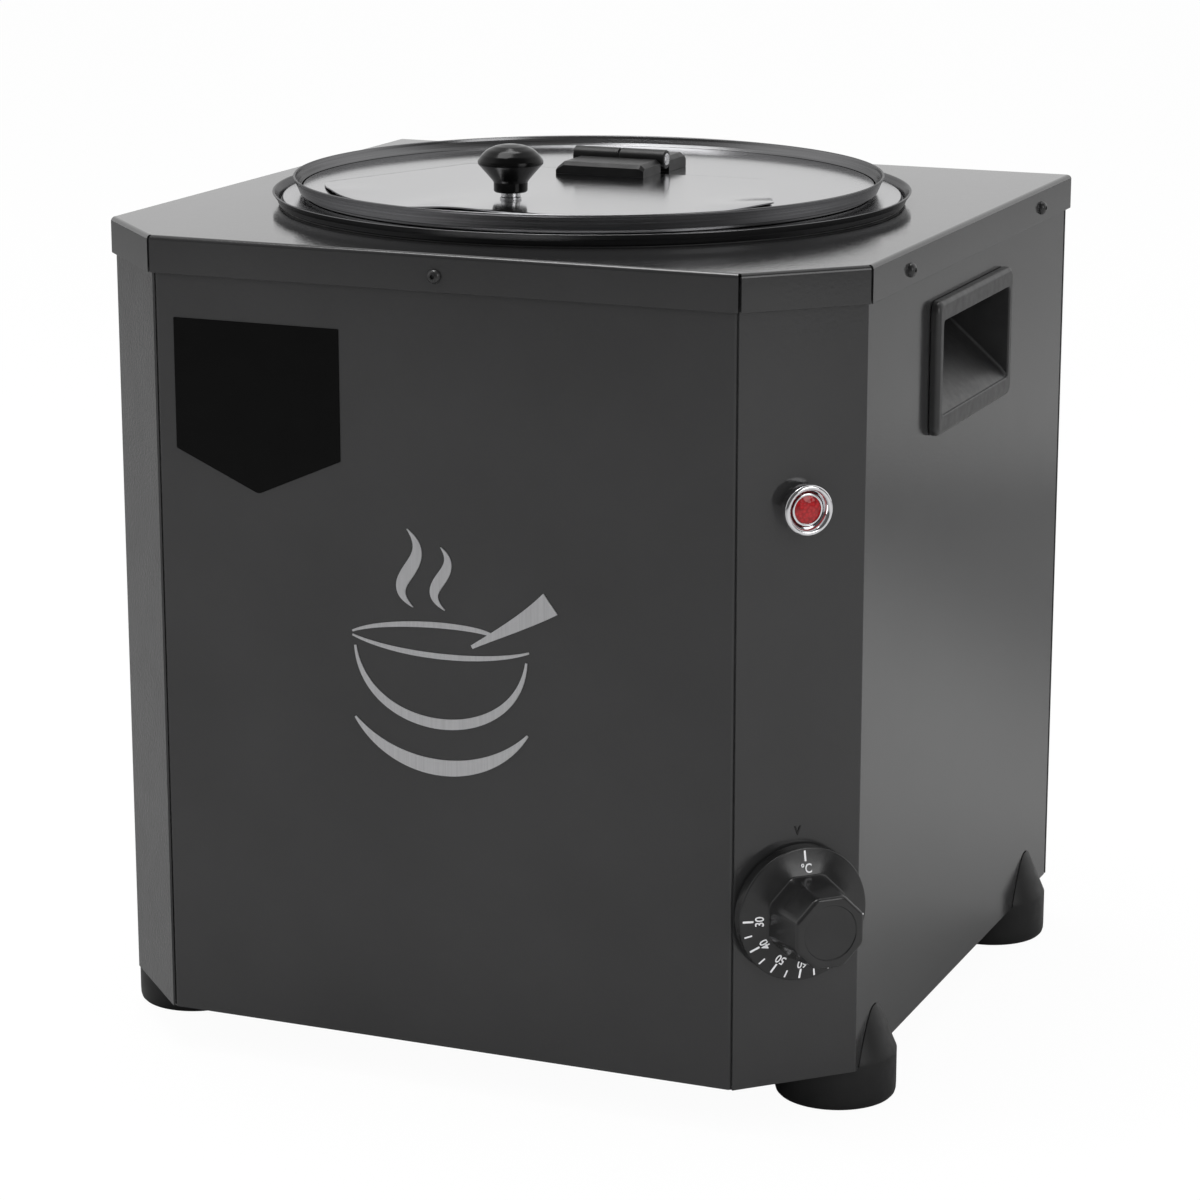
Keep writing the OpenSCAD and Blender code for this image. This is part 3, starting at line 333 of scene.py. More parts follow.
def rounded_rect(x0, y0, x1, y1, r, n):
    return fillet([(x0, y0), (x1, y0), (x1, y1), (x0, y1)], r, n)


def inset(points, d):
    """Moves a closed outline inward by d."""
    if abs(d) < 1e-9:
        return list(points)
    sign = 1 if sum(a[0] * b[1] - b[0] * a[1] for a, b in sides(points)) > 0 else -1
    out = []
    m = len(points)
    for i in range(m):
        p = Vector(points[i])
        a = unit(p - Vector(points[i - 1]))
        b = unit(Vector(points[(i + 1) % m]) - p)
        na, nb = Vector((-a.y, a.x)) * sign, Vector((-b.y, b.x)) * sign
        out.append(tuple(p + (na + nb) * (d / max(0.2, 1 + na.dot(nb)))))
    return out


def offset_path(path, t):
    """An open line moved to its left by t, with mitred corners."""
    out = []
    m = len(path)
    for i in range(m):
        a = unit(Vector(path[min(i + 1, m - 1)]) - Vector(path[min(i, m - 2)]))
        b = unit(Vector(path[max(i, 1)]) - Vector(path[max(i - 1, 0)]))
        na, nb = Vector((-a.y, a.x)), Vector((-b.y, b.x))
        out.append(tuple(Vector(path[i]) + (na + nb) * (t / (1 + na.dot(nb)))))
    return out


# ---------------------------------------------------------------- mesh tools
class Shape:
    """Collects vertices and faces in millimetres."""

    def __init__(self):
        self.v, self.f = [], []

    def add(self, verts, faces):
        k = len(self.v)
        self.v += [tuple(v) for v in verts]
        self.f += [tuple(i + k for i in f) for f in faces]
        return self

    def move(self, m):
        self.v = [tuple(m @ Vector(v)) for v in self.v]
        return self

    def join(self, other):
        return self.add(other.v, other.f)


def loft(rings, cap_start=True, cap_end=True, closed=False):
    """Skin over rings of points; a ring of one point is a tip."""
    s = Shape()
    ids = []
    for ring in rings:
        k = len(s.v)
        s.v += [tuple(p) for p in ring]
        ids.append(list(range(k, k + len(ring))))
    pairs = list(zip(ids, ids[1:])) + ([(ids[-1], ids[0])] if closed else [])
    for a, b in pairs:
        n = max(len(a), len(b))
        for i in range(n):
            j = (i + 1) % n
            if len(a) == 1:
                s.f.append((a[0], b[j], b[i]))
            elif len(b) == 1:
                s.f.append((a[i], a[j], b[0]))
            else:
                s.f.append((a[i], a[j], b[j], b[i]))
    if not closed:
        if cap_start and len(ids[0]) > 2:
            s.f.append(tuple(reversed(ids[0])))
        if cap_end and len(ids[-1]) > 2:
            s.f.append(tuple(ids[-1]))
    return s


def lathe(profile, steps, closed=True):
    """Turns a profile of (r, z) about Z. A closed profile makes a ring; one that
    starts or ends at r = 0 makes a solid of revolution."""
    rings = [[(0, 0, z)] if r < 1e-6 else circle(r, z, steps) for r, z in profile]
    return loft(rings, False, False, closed)


def prism(points, z0, z1, edge=0.0):
    """Extrudes a nearly convex outline; where edge is given, its two rims are rounded."""
    if edge <= 0:
        return loft([at_height(points, z0), at_height(points, z1)])
    rings = [at_height(inset(points, edge * s), z0 + edge * c) for s, c in quarter(2)]
    rings += [at_height(inset(points, edge * c), z1 - edge * s) for s, c in quarter(2)]
    return loft(rings)


def holed_plate(outer, hole, z_lo, z_hi):
    """Flat plate between an outline and a hole in it."""
    bm = bmesh.new()
    edges = []
    for pts in (outer, hole):
        vs = [bm.verts.new((x, y, 0)) for x, y in pts]
        edges += [bm.edges.new(pair) for pair in sides(vs)]
    bmesh.ops.triangle_fill(bm, use_beauty=True, use_dissolve=False, edges=edges)
    bm.verts.index_update()
    flat = [(v.co.x, v.co.y) for v in bm.verts]
    faces = [tuple(v.index for v in f.verts) for f in bm.faces]
    bm.free()
    s = Shape().add(at_height(flat, z_hi), faces)
    s.add(at_height(flat, z_lo), [tuple(reversed(f)) for f in faces])
    n = len(flat)
    for start, m in ((0, len(outer)), (len(outer), len(hole))):
        for i in range(m):
            a, b = start + i, start + (i + 1) % m
            s.f.append((a, b, b + n, a + n))
    return s


def piece(name, shape, mat, body, replaces=(), matrix=None, smooth=35, weighted=True):
    """Makes a shape into an object, in metres, that shades smooth across edges below an angle."""
    if matrix is not None:
        shape.move(matrix)
    mesh = bpy.data.meshes.new(name)
    mesh.from_pydata([Vector(v) * MM for v in shape.v], [], shape.f)
    bm = bmesh.new()
    bm.from_mesh(mesh)
    bmesh.ops.remove_doubles(bm, verts=bm.verts, dist=1e-7)
    bmesh.ops.dissolve_degenerate(bm, dist=1e-8, edges=bm.edges)
    bmesh.ops.recalc_face_normals(bm, faces=bm.faces)
    bm.to_mesh(mesh)
    bm.free()
    for p in mesh.polygons:
        p.use_smooth = True
    mesh.set_sharp_from_angle(angle=math.radians(smooth))
    mesh.materials.append(mat)
    ob = bpy.data.objects.new(name, mesh)
    bpy.context.scene.collection.objects.link(ob)
    if weighted:
        mod = ob.modifiers.new("normals", "WEIGHTED_NORMAL")
        mod.keep_sharp = True
    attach(ob, body)
    if replaces:
        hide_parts(*replaces)


# ---------------------------------------------------------------- panels
def bent_sheet(path, radius, z_lo, z_hi, hole=None, mirror=False):
    """Sheet bent along a path, seen from outside, with at most one window:
    hole is (first y, last y, low z, high z) on the part that runs along Y."""
    if hole:
        k = next(i for i, (a, b) in enumerate(zip(path, path[1:]))
                 if abs(a[0] - b[0]) < 1e-6 and a[1] < hole[0] < b[1])
        path = path[:k + 1] + [(path[k][0], hole[0]), (path[k][0], hole[1])] + path[k + 1:]
    outer = fillet(path, radius, 6, closed=False)
    inner = offset_path(outer, SHEET)
    zs = [z_lo, z_hi] if not hole else [z_lo, hole[2], hole[3], z_hi]
    s = Shape()
    grids = []
    for line in (outer, inner):
        grids.append(len(s.v))
        s.v += [(-x if mirror else x, y, z) for x, y in line for z in zs]
    nz = len(zs)
    gone = set()
    if hole:
        for i, (a, b) in enumerate(zip(outer, outer[1:])):
            if abs(a[1] - hole[0]) < 1e-6 and abs(b[1] - hole[1]) < 1e-6:
                gone.add((i, 1))
    # quads on both faces, and edge faces where only one quad meets an edge
    count = {}
    for i in range(len(outer) - 1):
        for j in range(nz - 1):
            if (i, j) in gone:
                continue
            quad = [i * nz + j, (i + 1) * nz + j, (i + 1) * nz + j + 1, i * nz + j + 1]
            s.f.append(tuple(q + grids[0] for q in quad))
            s.f.append(tuple(q + grids[1] for q in reversed(quad)))
            for a, b in sides(quad):
                key = (min(a, b), max(a, b))
                count[key] = count.get(key, 0) + 1
    for (a, b), n in count.items():
        if n == 1:
            s.f.append((a + grids[0], b + grids[0], b + grids[1], a + grids[1]))
    return s


PANEL_TOP = Z0 - SHEET - PLAY
LAP = SHEET + PLAY                          # how far the front and back lie inside the sides
WINDOW_PLAY = 2.3                           # between the handle's recess and its window
edge_x, reach = HALF_W - CUT - LAP * math.sqrt(2), RETURN / math.sqrt(2)
front_path = [(-edge_x - reach, -HALF_D + reach), (-edge_x, -HALF_D), (edge_x, -HALF_D),
              (edge_x + reach, -HALF_D + reach)]
side_path = [(HALF_W - CUT, -HALF_D), (HALF_W, -HALF_D + CUT), (HALF_W, HALF_D - LAP),
             (HALF_W - RETURN, HALF_D - LAP)]
window = (HANDLE_Y - HANDLE_W - WINDOW_PLAY, HANDLE_Y + HANDLE_W + WINDOW_PLAY,
          HANDLE_Z - HANDLE_H - WINDOW_PLAY, HANDLE_Z + HANDLE_H + WINDOW_PLAY)
piece("front_sheet", bent_sheet(front_path, 1.4, FOOT, PANEL_TOP), PAINT, "casing",
      ["front_panel"], smooth=50)
for name, mat in (("right", PAINT), ("left", PAINT_PEEL)):
    piece(name + "_sheet", bent_sheet(side_path, 1.6, FOOT, PANEL_TOP, window, mirror=name == "left"),
          mat, "casing", [name + "_side_panel"], smooth=50)


# ---------------------------------------------------------------- top cover
def casing_outline(d):
    """The casing's outline seen from above, moved in by d."""
    w, h, c = HALF_W - d, HALF_D - d, CUT - d * (2 - math.sqrt(2))
    return [(-w + c, -h), (w - c, -h), (w, -h + c), (w, h), (-w, h), (-w, -h + c)]


def cover_skirts():
    """The cover's rounded edge and its skirt, side by side, with an open seam at each corner."""
    slit, opening, edge = 0.75, 0.6, 0.3    # seam's half width, how soon it opens, lower edge's bevel
    proud, inner = GAP + SHEET, BEND - SHEET
    outside = [(BEND * s, -BEND * c) for s, c in quarter(6)] + [(0, -SKIRT + edge), (edge, -SKIRT)]
    inside = [(SHEET + inner * s, -SHEET - inner * c) for s, c in quarter(6)]
    inside += [(SHEET, -SKIRT + edge), (SHEET - edge, -SKIRT)]
    section = outside + inside[::-1]

    def end(k, shift):
        """The section at corner k, shifted along its side where the seam is open."""
        corners = [Vector(casing_outline(d - proud)[k]) + shift * min(1, (BEND - d) / opening)
                   for d, _ in section]
        return [(*corner, Z0 + z) for corner, (_, z) in zip(corners, section)]

    shape = Shape()
    outer = casing_outline(-proud)
    for i in range(6):
        j = (i + 1) % 6
        shift = unit(Vector(outer[j]) - Vector(outer[i])) * slit
        shape.join(loft([end(i, shift), end(j, -shift)]))
    return shape


def cover_top():
    edge = []
    for a, b in sides(casing_outline(BEND - GAP - SHEET)):
        edge += [tuple(Vector(a).lerp(Vector(b), t / 8)) for t in range(8)]
    return holed_plate(edge, round_outline(MOUTH_R, 144), Z0 - SHEET, Z0)


piece("cover_skirts", cover_skirts(), COVER, "casing", ["top_cover"], smooth=50)
piece("cover_top", cover_top(), COVER, "casing", ["top_cover"], smooth=30)


# ---------------------------------------------------------------- screws
def socket_screw(d):
    """Pan head along +Z from its seat, with a six-sided recess."""
    head, steps, shank = 0.8 * d, 36, 7.0
    dome = ((1, 0), (1, 0.06), (0.97, 0.16), (0.88, 0.34), (0.72, 0.48), (0.5, 0.56))
    recess = ((0.34, 0.58), (0.3, 0.56), (0.3, 0.2))
    rings = [circle(r * head, z * d, steps) for r, z in dome]
    rings += [at_height(polygon(6, r * head, steps=steps), z * d) for r, z in recess]
    s = loft(rings + [[(0, 0, 0.14 * d)]], cap_start=False)
    s.join(loft([circle(head, 0, steps), circle(d / 2, 0, steps), circle(d / 2, -shank, steps)],
                cap_start=False))
    return s


def screw_heads(name, places, node):
    """Black 4 mm screws; each place is x, y, z and the angle about Z that it faces."""
    heads = Shape()
    for x, y, z, facing in places:
        turn = Matrix.Rotation(math.radians(facing), 4, "Z") @ Matrix.Rotation(math.radians(90), 4, "Y")
        heads.join(socket_screw(4.0).move(Matrix.Translation((x, y, z)) @ turn))
    piece(name, heads, SCREW, "casing", [node], smooth=40)


face = GAP + SHEET                          # the skirt's outer face, out from the casing
screw_z = Z0 - 9.5
side_middle, side_reach, back_x, flange_x = 20.75, 99.5, 120, 171
skirt_places = [(0, -HALF_D - face, screw_z, -90)]
for side, facing in ((1, 0), (-1, 180)):
    for y in (side_middle - side_reach, side_middle + side_reach):
        skirt_places.append((side * (HALF_W + face), y, screw_z, facing))
skirt_places += [(x, HALF_D + face, screw_z, 90) for x in (-back_x, back_x)]
screw_heads("skirt_screw_heads", skirt_places, "cover_screws")
screw_heads("back_screw_heads", [(x, HALF_D, FOOT + k * (PANEL_TOP - FOOT), 90)
                                 for x in (-flange_x, flange_x) for k in (0.25, 0.75)], "back_screws")


# ---------------------------------------------------------------- feet
FOOT_X, FOOT_FRONT, FOOT_BACK = 160.5, -103.5, 131.0


def foot():
    """Foot at the right: a round base, and a pointed tongue outside the side panel."""
    r, bore = 27.0, 6.0
    flat = HALF_W + PLAY - FOOT_X           # the tongue's inner face
    shoulder, rise, tip = 21.0, 22.0, 42.6  # tongue: where it narrows, over what height, its tip
    steps = 28
    s = lathe([(bore, 0), (r - 2.6, 0), (r - 1.3, 0.35), (r - 0.5, 1.2), (r - 0.1, 2.6), (r, 5),
               (r, FOOT - 0.4), (r - 0.4, FOOT), (bore, FOOT)], 96)
    rings = []
    for z in [FOOT - 0.6, FOOT, shoulder] + [shoulder + rise * (k / 14) for k in range(1, 14)] + [tip]:
        reach = r if z <= shoulder else r - (r - flat) * (z - shoulder) / rise
        reach = max(reach, flat + 0.12)     # the tip keeps a little thickness
        phi = math.acos(flat / reach)
        angles = [-phi + 2 * phi * i / steps for i in range(steps + 1)]
        rings.append([(reach * math.cos(t), reach * math.sin(t), z) for t in angles])
    return s.join(loft(rings))


for end, y in (("front", FOOT_FRONT), ("back", FOOT_BACK)):
    for side, sign in (("left", -1), ("right", 1)):
        name = "foot_" + end + "_" + side
        place = Matrix.Translation((sign * FOOT_X, y, 0)) @ Matrix.Diagonal((sign, 1, 1, 1))
        piece(name + "_moulding", foot(), FOOT_MAT, "casing", [name], matrix=place,
              smooth=40)


# ---------------------------------------------------------------- handles
def handle():
    """Recessed handle about its middle: X along the side, Y up, Z out of the panel."""
    proud, bend, lip = 4.8, 2.4, 0.9        # frame's height, its outer and its inner rounding
    depth, rise, wall = 36.0, 32.0, 2.0     # recess: depth, rise of its slanted floor, wall
    frame_w, frame_h, corner = 56.0, 30.0, 5.0  # frame: half length, half height, corner radius
    mouth, taper = 50.0, 0.12               # half length at the mouth, taper per ring
    deep = proud - depth

    def ring(w, lo, hi, r, z):
        return at_height(rounded_rect(-w, lo, w, hi, r, 7), z)

    def low(z, g=0.0):
        """Height of the slanted floor at depth z, grown by g."""
        return -HANDLE_H - g * math.hypot(1, rise / depth) + (proud - z) * rise / depth

    # outer shell of the recess, from its deep end to the frame
    shell, top = HANDLE_W + wall, HANDLE_H + wall
    rings = [ring(shell, low(deep - wall, wall) + 0.5, top, 3.5, deep - wall),
             ring(shell, low(deep, wall), top, 3.5, deep),
             ring(shell, max(low(0.2, wall), -top), top, 3.5, 0.2)]
    # frame: back face, side, rounded edge, front face
    rings += [ring(frame_w - 0.4, -frame_h + 0.4, frame_h - 0.4, corner - 0.4, 0.2),
              ring(frame_w, -frame_h, frame_h, corner, 0.6),
              ring(frame_w, -frame_h, frame_h, corner, proud - bend)]
    for s, c in quarter(7, 1):
        d = bend * c
        rings.append(ring(frame_w - d, -frame_h + d, frame_h - d, corner - d * 0.6, proud - bend * s))
    for s, c in quarter(4):
        d = lip * s
        rings.append(ring(mouth + d, -HANDLE_H - d, HANDLE_H + d, 2.2 + d, proud - lip * c))
    # inside of the recess
    for k in range(1, 13):
        z = proud - lip - (depth - lip - 1.2) * k / 12
        rings.append(ring(mouth - taper * k, low(z), HANDLE_H, 2.2, z))
    rings.append(ring(48.3, low(deep) + 0.7, 20.5, 1.8, deep + 0.3))
    rings.append(ring(47.0, low(deep) + 1.8, 19.4, 1.2, deep))
    return loft(rings)


for side, name in ((1, "handle_right"), (-1, "handle_left")):
    piece(name + "_moulding", handle(), HANDLE_MAT, "casing", [name],
          matrix=on_side(side, HANDLE_Y, HANDLE_Z), smooth=28)


# ---------------------------------------------------------------- badge, emblem, pointer
SKIN = 0.02                                 # flat trim starts this far off the face below it
badge_x, badge_half, badge_top, badge_low, badge_tip = -86.5, 40.0, 319.5, 261.5, 244.0
badge = fillet([(badge_x - badge_half, badge_top), (badge_x - badge_half, badge_low),
                (badge_x, badge_tip), (badge_x + badge_half, badge_low),
                (badge_x + badge_half, badge_top)], [0.5, 0.5, 3.5, 0.5, 0.5], 6)
piece("badge_face", prism(badge, SKIN, 0.4, 0.12), BADGE, "casing", ["badge_plate"],
      matrix=on_front(0, FOOT), smooth=30)


def bezier(p, t):
    weights = ((1 - t) ** 3, 3 * t * (1 - t) ** 2, 3 * t * t * (1 - t), t ** 3)
    return sum((Vector(q) * w for q, w in zip(p, weights)), Vector((0, 0)))


def stroke(p, w):
    """Outline of a stroke along a curve; w steers its half width at start, middle and end."""
    n = 44
    at = [bezier(p, i / n) for i in range(n + 1)]
    left, right = [], []
    for i in range(n + 1):
        d = (at[min(i + 1, n)] - at[max(i - 1, 0)]).normalized()
        t = i / n
        half = (1 - t) ** 2 * w[0] + 2 * t * (1 - t) * w[1] + t * t * w[2]
        left.append(tuple(at[i] + Vector((-d.y, d.x)) * half))
        right.append(tuple(at[i] - Vector((-d.y, d.x)) * half))
    return left + right[::-1]


# control points and half widths, in half widths of the emblem
STROKES = {
    "bowl": ([(-0.97, -0.13), (-0.86, -1.13), (0.86, -1.13), (0.97, -0.13)], (0.012, 0.1, 0.012)),
    "far rim": ([(-1, 0.02), (-0.6, 0.2), (0.55, 0.22), (0.62, 0.1)], (0.01, 0.05, 0.012)),
    "near rim": ([(-1, -0.02), (-0.5, -0.2), (0.5, -0.2), (1, -0.02)], (0.01, 0.05, 0.01)),
    "saucer": ([(-0.98, -0.9), (-0.5, -1.5), (0.5, -1.5), (0.98, -0.9)], (0.012, 0.16, 0.012)),
    "spoon": ([(0.36, -0.02), (0.6, 0.12), (0.95, 0.3), (1.24, 0.52)], (0.02, 0.05, 0.13)),
    "left steam": ([(-0.3, 0.34), (-0.72, 0.62), (0.02, 0.8), (-0.36, 1.16)], (0.005, 0.14, 0.005)),
    "right steam": ([(0.06, 0.34), (-0.3, 0.58), (0.3, 0.72), (0.02, 1.0)], (0.005, 0.12, 0.005)),
}
emblem = Shape()
for k, (p, w) in enumerate(STROKES.values()):
    pts = [(x * EMBLEM_R, y * EMBLEM_R) for x, y in stroke(p, w)]
    emblem.join(prism(pts, SKIN, 0.36 + 0.01 * k))      # where strokes cross, one is on top
piece("emblem_strokes", emblem, EMBLEM, "casing", ["bowl_emblem"],
      matrix=on_front(0, EMBLEM_Z), smooth=30)

pointer_top, pointer_notch, pointer_tip = 37.25, 35.05, 33.25
pointer = [(-1.6, pointer_top), (-0.8, pointer_top), (0, pointer_notch), (0.8, pointer_top),
           (1.6, pointer_top), (0, pointer_tip)]
piece("pointer_mark", prism(pointer, SKIN, 0.3), INK, "casing", ["dial_pointer"],
      matrix=on_cut(DIAL_Z))


# ---------------------------------------------------------------- pilot light
LAMP = on_cut(LAMP_Z)
bezel = [(6.3, 0.05), (9.6, 0.05), (10.2, 1.0), (10.7, 3.4), (11.0, 5.4), (11.1, 6.4), (10.95, 7.1),
         (10.6, 7.6), (10.1, 7.95), (9.5, 8.0), (9.0, 7.8), (8.5, 7.2), (8.0, 6.2), (7.5, 5.35),
         (7.1, 4.9), (6.95, 4.6), (6.95, 4.1), (6.3, 4.05)]
piece("pilot_bezel_ring", lathe(bezel, 96), CHROME, "casing", ["pilot_bezel"], matrix=LAMP,
      smooth=50)
lens = [(0, 4.05), (6.7, 4.05), (6.8, 4.3), (6.75, 4.9), (6.5, 5.3), (6.0, 5.5), (5.3, 5.75), (4.2, 6.05),
        (2.8, 6.3), (1.4, 6.42), (0, 6.45)]
piece("pilot_lens_dome", lathe(lens, 64, closed=False), LENS, "casing", ["pilot_lens"],
      matrix=LAMP, smooth=50)
liner = [(6.05, 5.55), (6.9, 5.3), (6.9, 5.75), (6.6, 5.95), (6.1, 5.85)]
piece("pilot_inner_ring", lathe(liner, 64), CHROME, "casing", matrix=LAMP, smooth=50)


# ---------------------------------------------------------------- dial
DIAL = on_cut(DIAL_Z)
DIAL_R, EDGE_R, FACE_R, GRIP_R = 29.75, 29.05, 24.0, 18.6
EDGE_Z, FACE_Z, GRIP_Z = 7.1, 8.3, 9.9      # the face's height at each of the last three radii
FACE_TILT = 13.0                            # slope of what lies on it
TICK_R, FIGURE_R, UNIT_R = 28.6, 21.4, 20.9     # ends of the ticks, middles of figures and unit
FIRST_FIGURE, FIGURE_STEP = 90.0, 28.8      # angles of the scale


def dial():
    """The disc, hollow below, and on it the eight-sided grip with blunt corners."""
    hub, hollow, base, ceiling = 6, 27.8, 1.3, 5.2
    edge, edge_z = 0.7, EDGE_Z - 0.7        # rounding of the disc's upper edge
    rings = [circle(hub, base), circle(hub, ceiling), circle(hollow, ceiling), circle(hollow, base),
             circle(29.5, 1.2), circle(DIAL_R, 1.5), circle(DIAL_R, edge_z)]
    for s, c in quarter(4, 1):
        rings.append(circle(DIAL_R - edge * c, edge_z + edge * (1 - s)))
    rings.append(circle(FACE_R, FACE_Z))
    # the grip tapers from low to high: distance of its flats, of its corners, height
    low, high, top = (17.75, 18.8, 11.4), (15.75, 16.7, 32.0), 33.85
    grip = [(GRIP_R, 19.7, GRIP_Z), (18.0, 19.05, 10.5)]
    grip += [[a + (b - a) * k / 8 for a, b in zip(low, high)] for k in range(9)]
    grip += [(high[0] - 1.6 * c, high[1] - 1.6 * c, high[2] + 1.8 * (1 - s)) for s, c in quarter(5, 1)]
    rings += [at_height(polygon(8, apothem, cap), z) for apothem, cap, z in grip]
    dish = ((12.6, top), (12.2, top - 0.1), (11.9, top - 0.5), (11.5, top - 0.6), (5, top - 0.6))
    rings += [circle(r, z) for r, z in dish]
    return loft(rings + [[(0, 0, top - 0.6)]], cap_end=False)


piece("dial_body", dial(), DIAL_MAT, "dial", ["thermostat_dial", "thermostat_knob"],
      matrix=DIAL, smooth=32)


def face_height(r):
    """Height of the dial's face at radius r."""
    if r > FACE_R:
        return FACE_Z - (r - FACE_R) / (EDGE_R - FACE_R) * (FACE_Z - EDGE_Z)
    return FACE_Z + (FACE_R - r) / (FACE_R - GRIP_R) * (GRIP_Z - FACE_Z)


def on_dial(angle, r):
    """Frame on the dial's sloped face: X across, Y outward, Z off the face; angle is turned
    anticlockwise from the top."""
    a = math.radians(90 + angle)
    place = Matrix.Translation((r * math.cos(a), r * math.sin(a), face_height(r)))
    return DIAL @ place @ Matrix.Rotation(math.radians(angle), 4, "Z") \
        @ Matrix.Rotation(-math.radians(FACE_TILT), 4, "X")


def tick(angle, length, width):
    w, h = width / 2, length / 2
    return prism([(-w, -h), (w, -h), (w, h), (-w, h)], -0.12, 0.1).move(on_dial(angle, TICK_R - h))


def figure(text, angle, r, size, squeeze):
    """Plain figures as a thin solid on the dial's face."""
    data = bpy.data.curves.new("figures", "FONT")
    data.body = text
    data.size = size
    data.align_x, data.align_y = "CENTER", "CENTER"
    data.extrude = 0.11
    data.offset = 0.012 * size
    ob = bpy.data.objects.new("figures", data)
    bpy.context.scene.collection.objects.link(ob)
    bpy.context.view_layer.update()
    mesh = bpy.data.meshes.new_from_object(ob.evaluated_get(bpy.context.evaluated_depsgraph_get()))
    s = Shape().add([tuple(v.co) for v in mesh.vertices], [tuple(p.vertices) for p in mesh.polygons])
    bpy.data.objects.remove(ob)
    bpy.data.curves.remove(data)
    bpy.data.meshes.remove(mesh)
    raised = Matrix.Translation((0, 0, 0.22)) @ Matrix.Diagonal((squeeze, 1, 1, 1))
    return s.move(on_dial(angle, r) @ raised)


marks = tick(0, 4.6, 0.85).join(figure("°C", 0, UNIT_R, 5.6, 0.85))
for k in range(7):
    a = FIRST_FIGURE + FIGURE_STEP * k
    marks.join(tick(a, 4.6, 0.85))
    marks.join(figure(str(30 + 10 * k), a, FIGURE_R, 5.4, 0.86))
    if k < 6:
        marks.join(tick(a + FIGURE_STEP / 2, 3.4, 0.7))
piece("dial_marks", marks, PRINT, "dial", smooth=30, weighted=False)


# ---------------------------------------------------------------- well and pot
RIM_R, RIM_IN, RIM_LOW = 142.45, 141.7, 376.95   # the pot's turned-down rim
SEAT = WELL_TOP - STEEL                     # underside of the well's flange, on the gasket
well_radii = [0, 4.5, 0.5, 0.7, 1.5, 0.3, 0.12, 0.3, 1.5, 0.4, 0.7, 3.8, 0]
well = fillet(
    [(0, WELL_FLOOR - STEEL), (WELL_R + STEEL, WELL_FLOOR - STEEL), (WELL_R + STEEL, SEAT),
     (144.0, SEAT), (144.9, 378.2), (146.9, 381.0), (146.7, 381.25), (145.9, 381.2), (144.1, 378.6),
     (143.3, WELL_TOP), (WELL_R, WELL_TOP), (WELL_R, WELL_FLOOR), (0, WELL_FLOOR)],
    well_radii, 5, closed=False)
# the well and its rim wear the darker steel, which is painted shade
piece("well_shell", lathe(well, 200, closed=False), STEEL_RIM_SHADED, "casing",
      ["well", "well_rim"], smooth=40)
gasket = fillet([(134.95, Z0), (143.5, Z0), (143.5, SEAT), (134.95, SEAT)], [0, 0.3, 0.3, 0], 3)
piece("seal_ring", lathe(gasket, 144), SEAL, "casing", ["well_gasket"], smooth=40)
pot = fillet(
    [(0, POT_FLOOR - STEEL), (POT_R + STEEL, POT_FLOOR - STEEL), (POT_R + STEEL, POT_TOP - STEEL),
     (RIM_IN, POT_TOP - STEEL), (RIM_IN, RIM_LOW), (RIM_R, RIM_LOW), (RIM_R, POT_TOP),
     (POT_R, POT_TOP), (POT_R, POT_FLOOR), (0, POT_FLOOR)],
    [0, 9, 0.6, 0.35, 0.1, 0.25, 0.9, 1.6, 8.2, 0], 6, closed=False)
piece("pot_shell", lathe(pot, 200, closed=False), STEEL_POT, "pot", ["pot"], smooth=40)


# ---------------------------------------------------------------- lid
def flap_outline(d):
    """Outline of the flap in the lid's frame, moved in by d."""
    r, steps = FLAP_R - d, 56
    c, s = math.cos(math.radians(FLAP_SLANT)), math.sin(math.radians(FLAP_SLANT))
    a = math.radians(FLAP_CORNER)
    cx, cy = FLAP_R * math.cos(a) - d * c, -FLAP_R * math.sin(a) - d * s
    back = PIN_V - FLAP_BACK - 0.4 * d
    bx = cx - (back - cy) * s / c
    # where the side line meets the arc
    k = cx * s - cy * c
    t = -k + math.sqrt(max(0, k * k - (cx * cx + cy * cy - r * r)))
    start = math.atan2(cy - c * t, cx + s * t)
    angles = [start + (-math.pi - 2 * start) * i / steps for i in range(steps + 1)]
    return [(-bx, back), (bx, back)] + [(r * math.cos(q), r * math.sin(q)) for q in angles]


def thinned(points):
    """A closed outline without the points that lie almost on the one before."""
    out, dist = [], 0.2
    for p in points:
        if not out or (Vector(p) - Vector(out[-1])).length > dist:
            out.append(p)
    while (Vector(out[0]) - Vector(out[-1])).length < dist:
        out.pop()
    return out


def flap_line(d, back_radius, n):
    """The flap's outline moved in by d, with its two back corners rounded."""
    points = thinned(flap_outline(d))
    return fillet(points, [back_radius] * 2 + [0] * (len(points) - 2), n)


lid_floor = holed_plate(round_outline(LID_FLOOR_R, 180), flap_line(OVERLAP, 3, 5), LID_FLOOR,
                        LID_FLOOR + LID_SHEET)
piece("lid_floor", lid_floor, STEEL_LID, "lid", ["lid_pan"], matrix=LID, smooth=30)
rim = fillet(
    [(129.4, LID_Z), (130.4, LID_Z), (130.4, 380.8), (132.9, 380.8), (134.0, 383.4), (135.5, 386.8),
     (136.0, 387.6), (135.6, 388.1), (134.9, 387.8), (134.5, 386.6), (133.3, 384.6), (LID_FLOOR_R, 383.3),
     (131.2, 383.3), (131.2, LID_FLOOR), (129.4, LID_FLOOR)],
    [0.1, 0.2, 0.2, 0.7, 3, 1.0, 0.3, 0.3, 0.2, 0.8, 2, 0.5, 0, 0, 0], 4)
# the lid's rim wears the darker steel, which is painted shade
piece("lid_rim", lathe(rim, 200), STEEL_RIM_SHADED, "lid", ["lid_pan"], matrix=LID, smooth=40)
centring = fillet([(120.2, LID_Z - 6), (121.1, LID_Z - 6), (121.1, LID_FLOOR), (120.2, LID_FLOOR)],
                  [0.3, 0.3, 0, 0], 3)
piece("centring_ring", lathe(centring, 144), STEEL_RIM_SHADED, "lid", ["locating_ring"], matrix=LID,
      smooth=40)


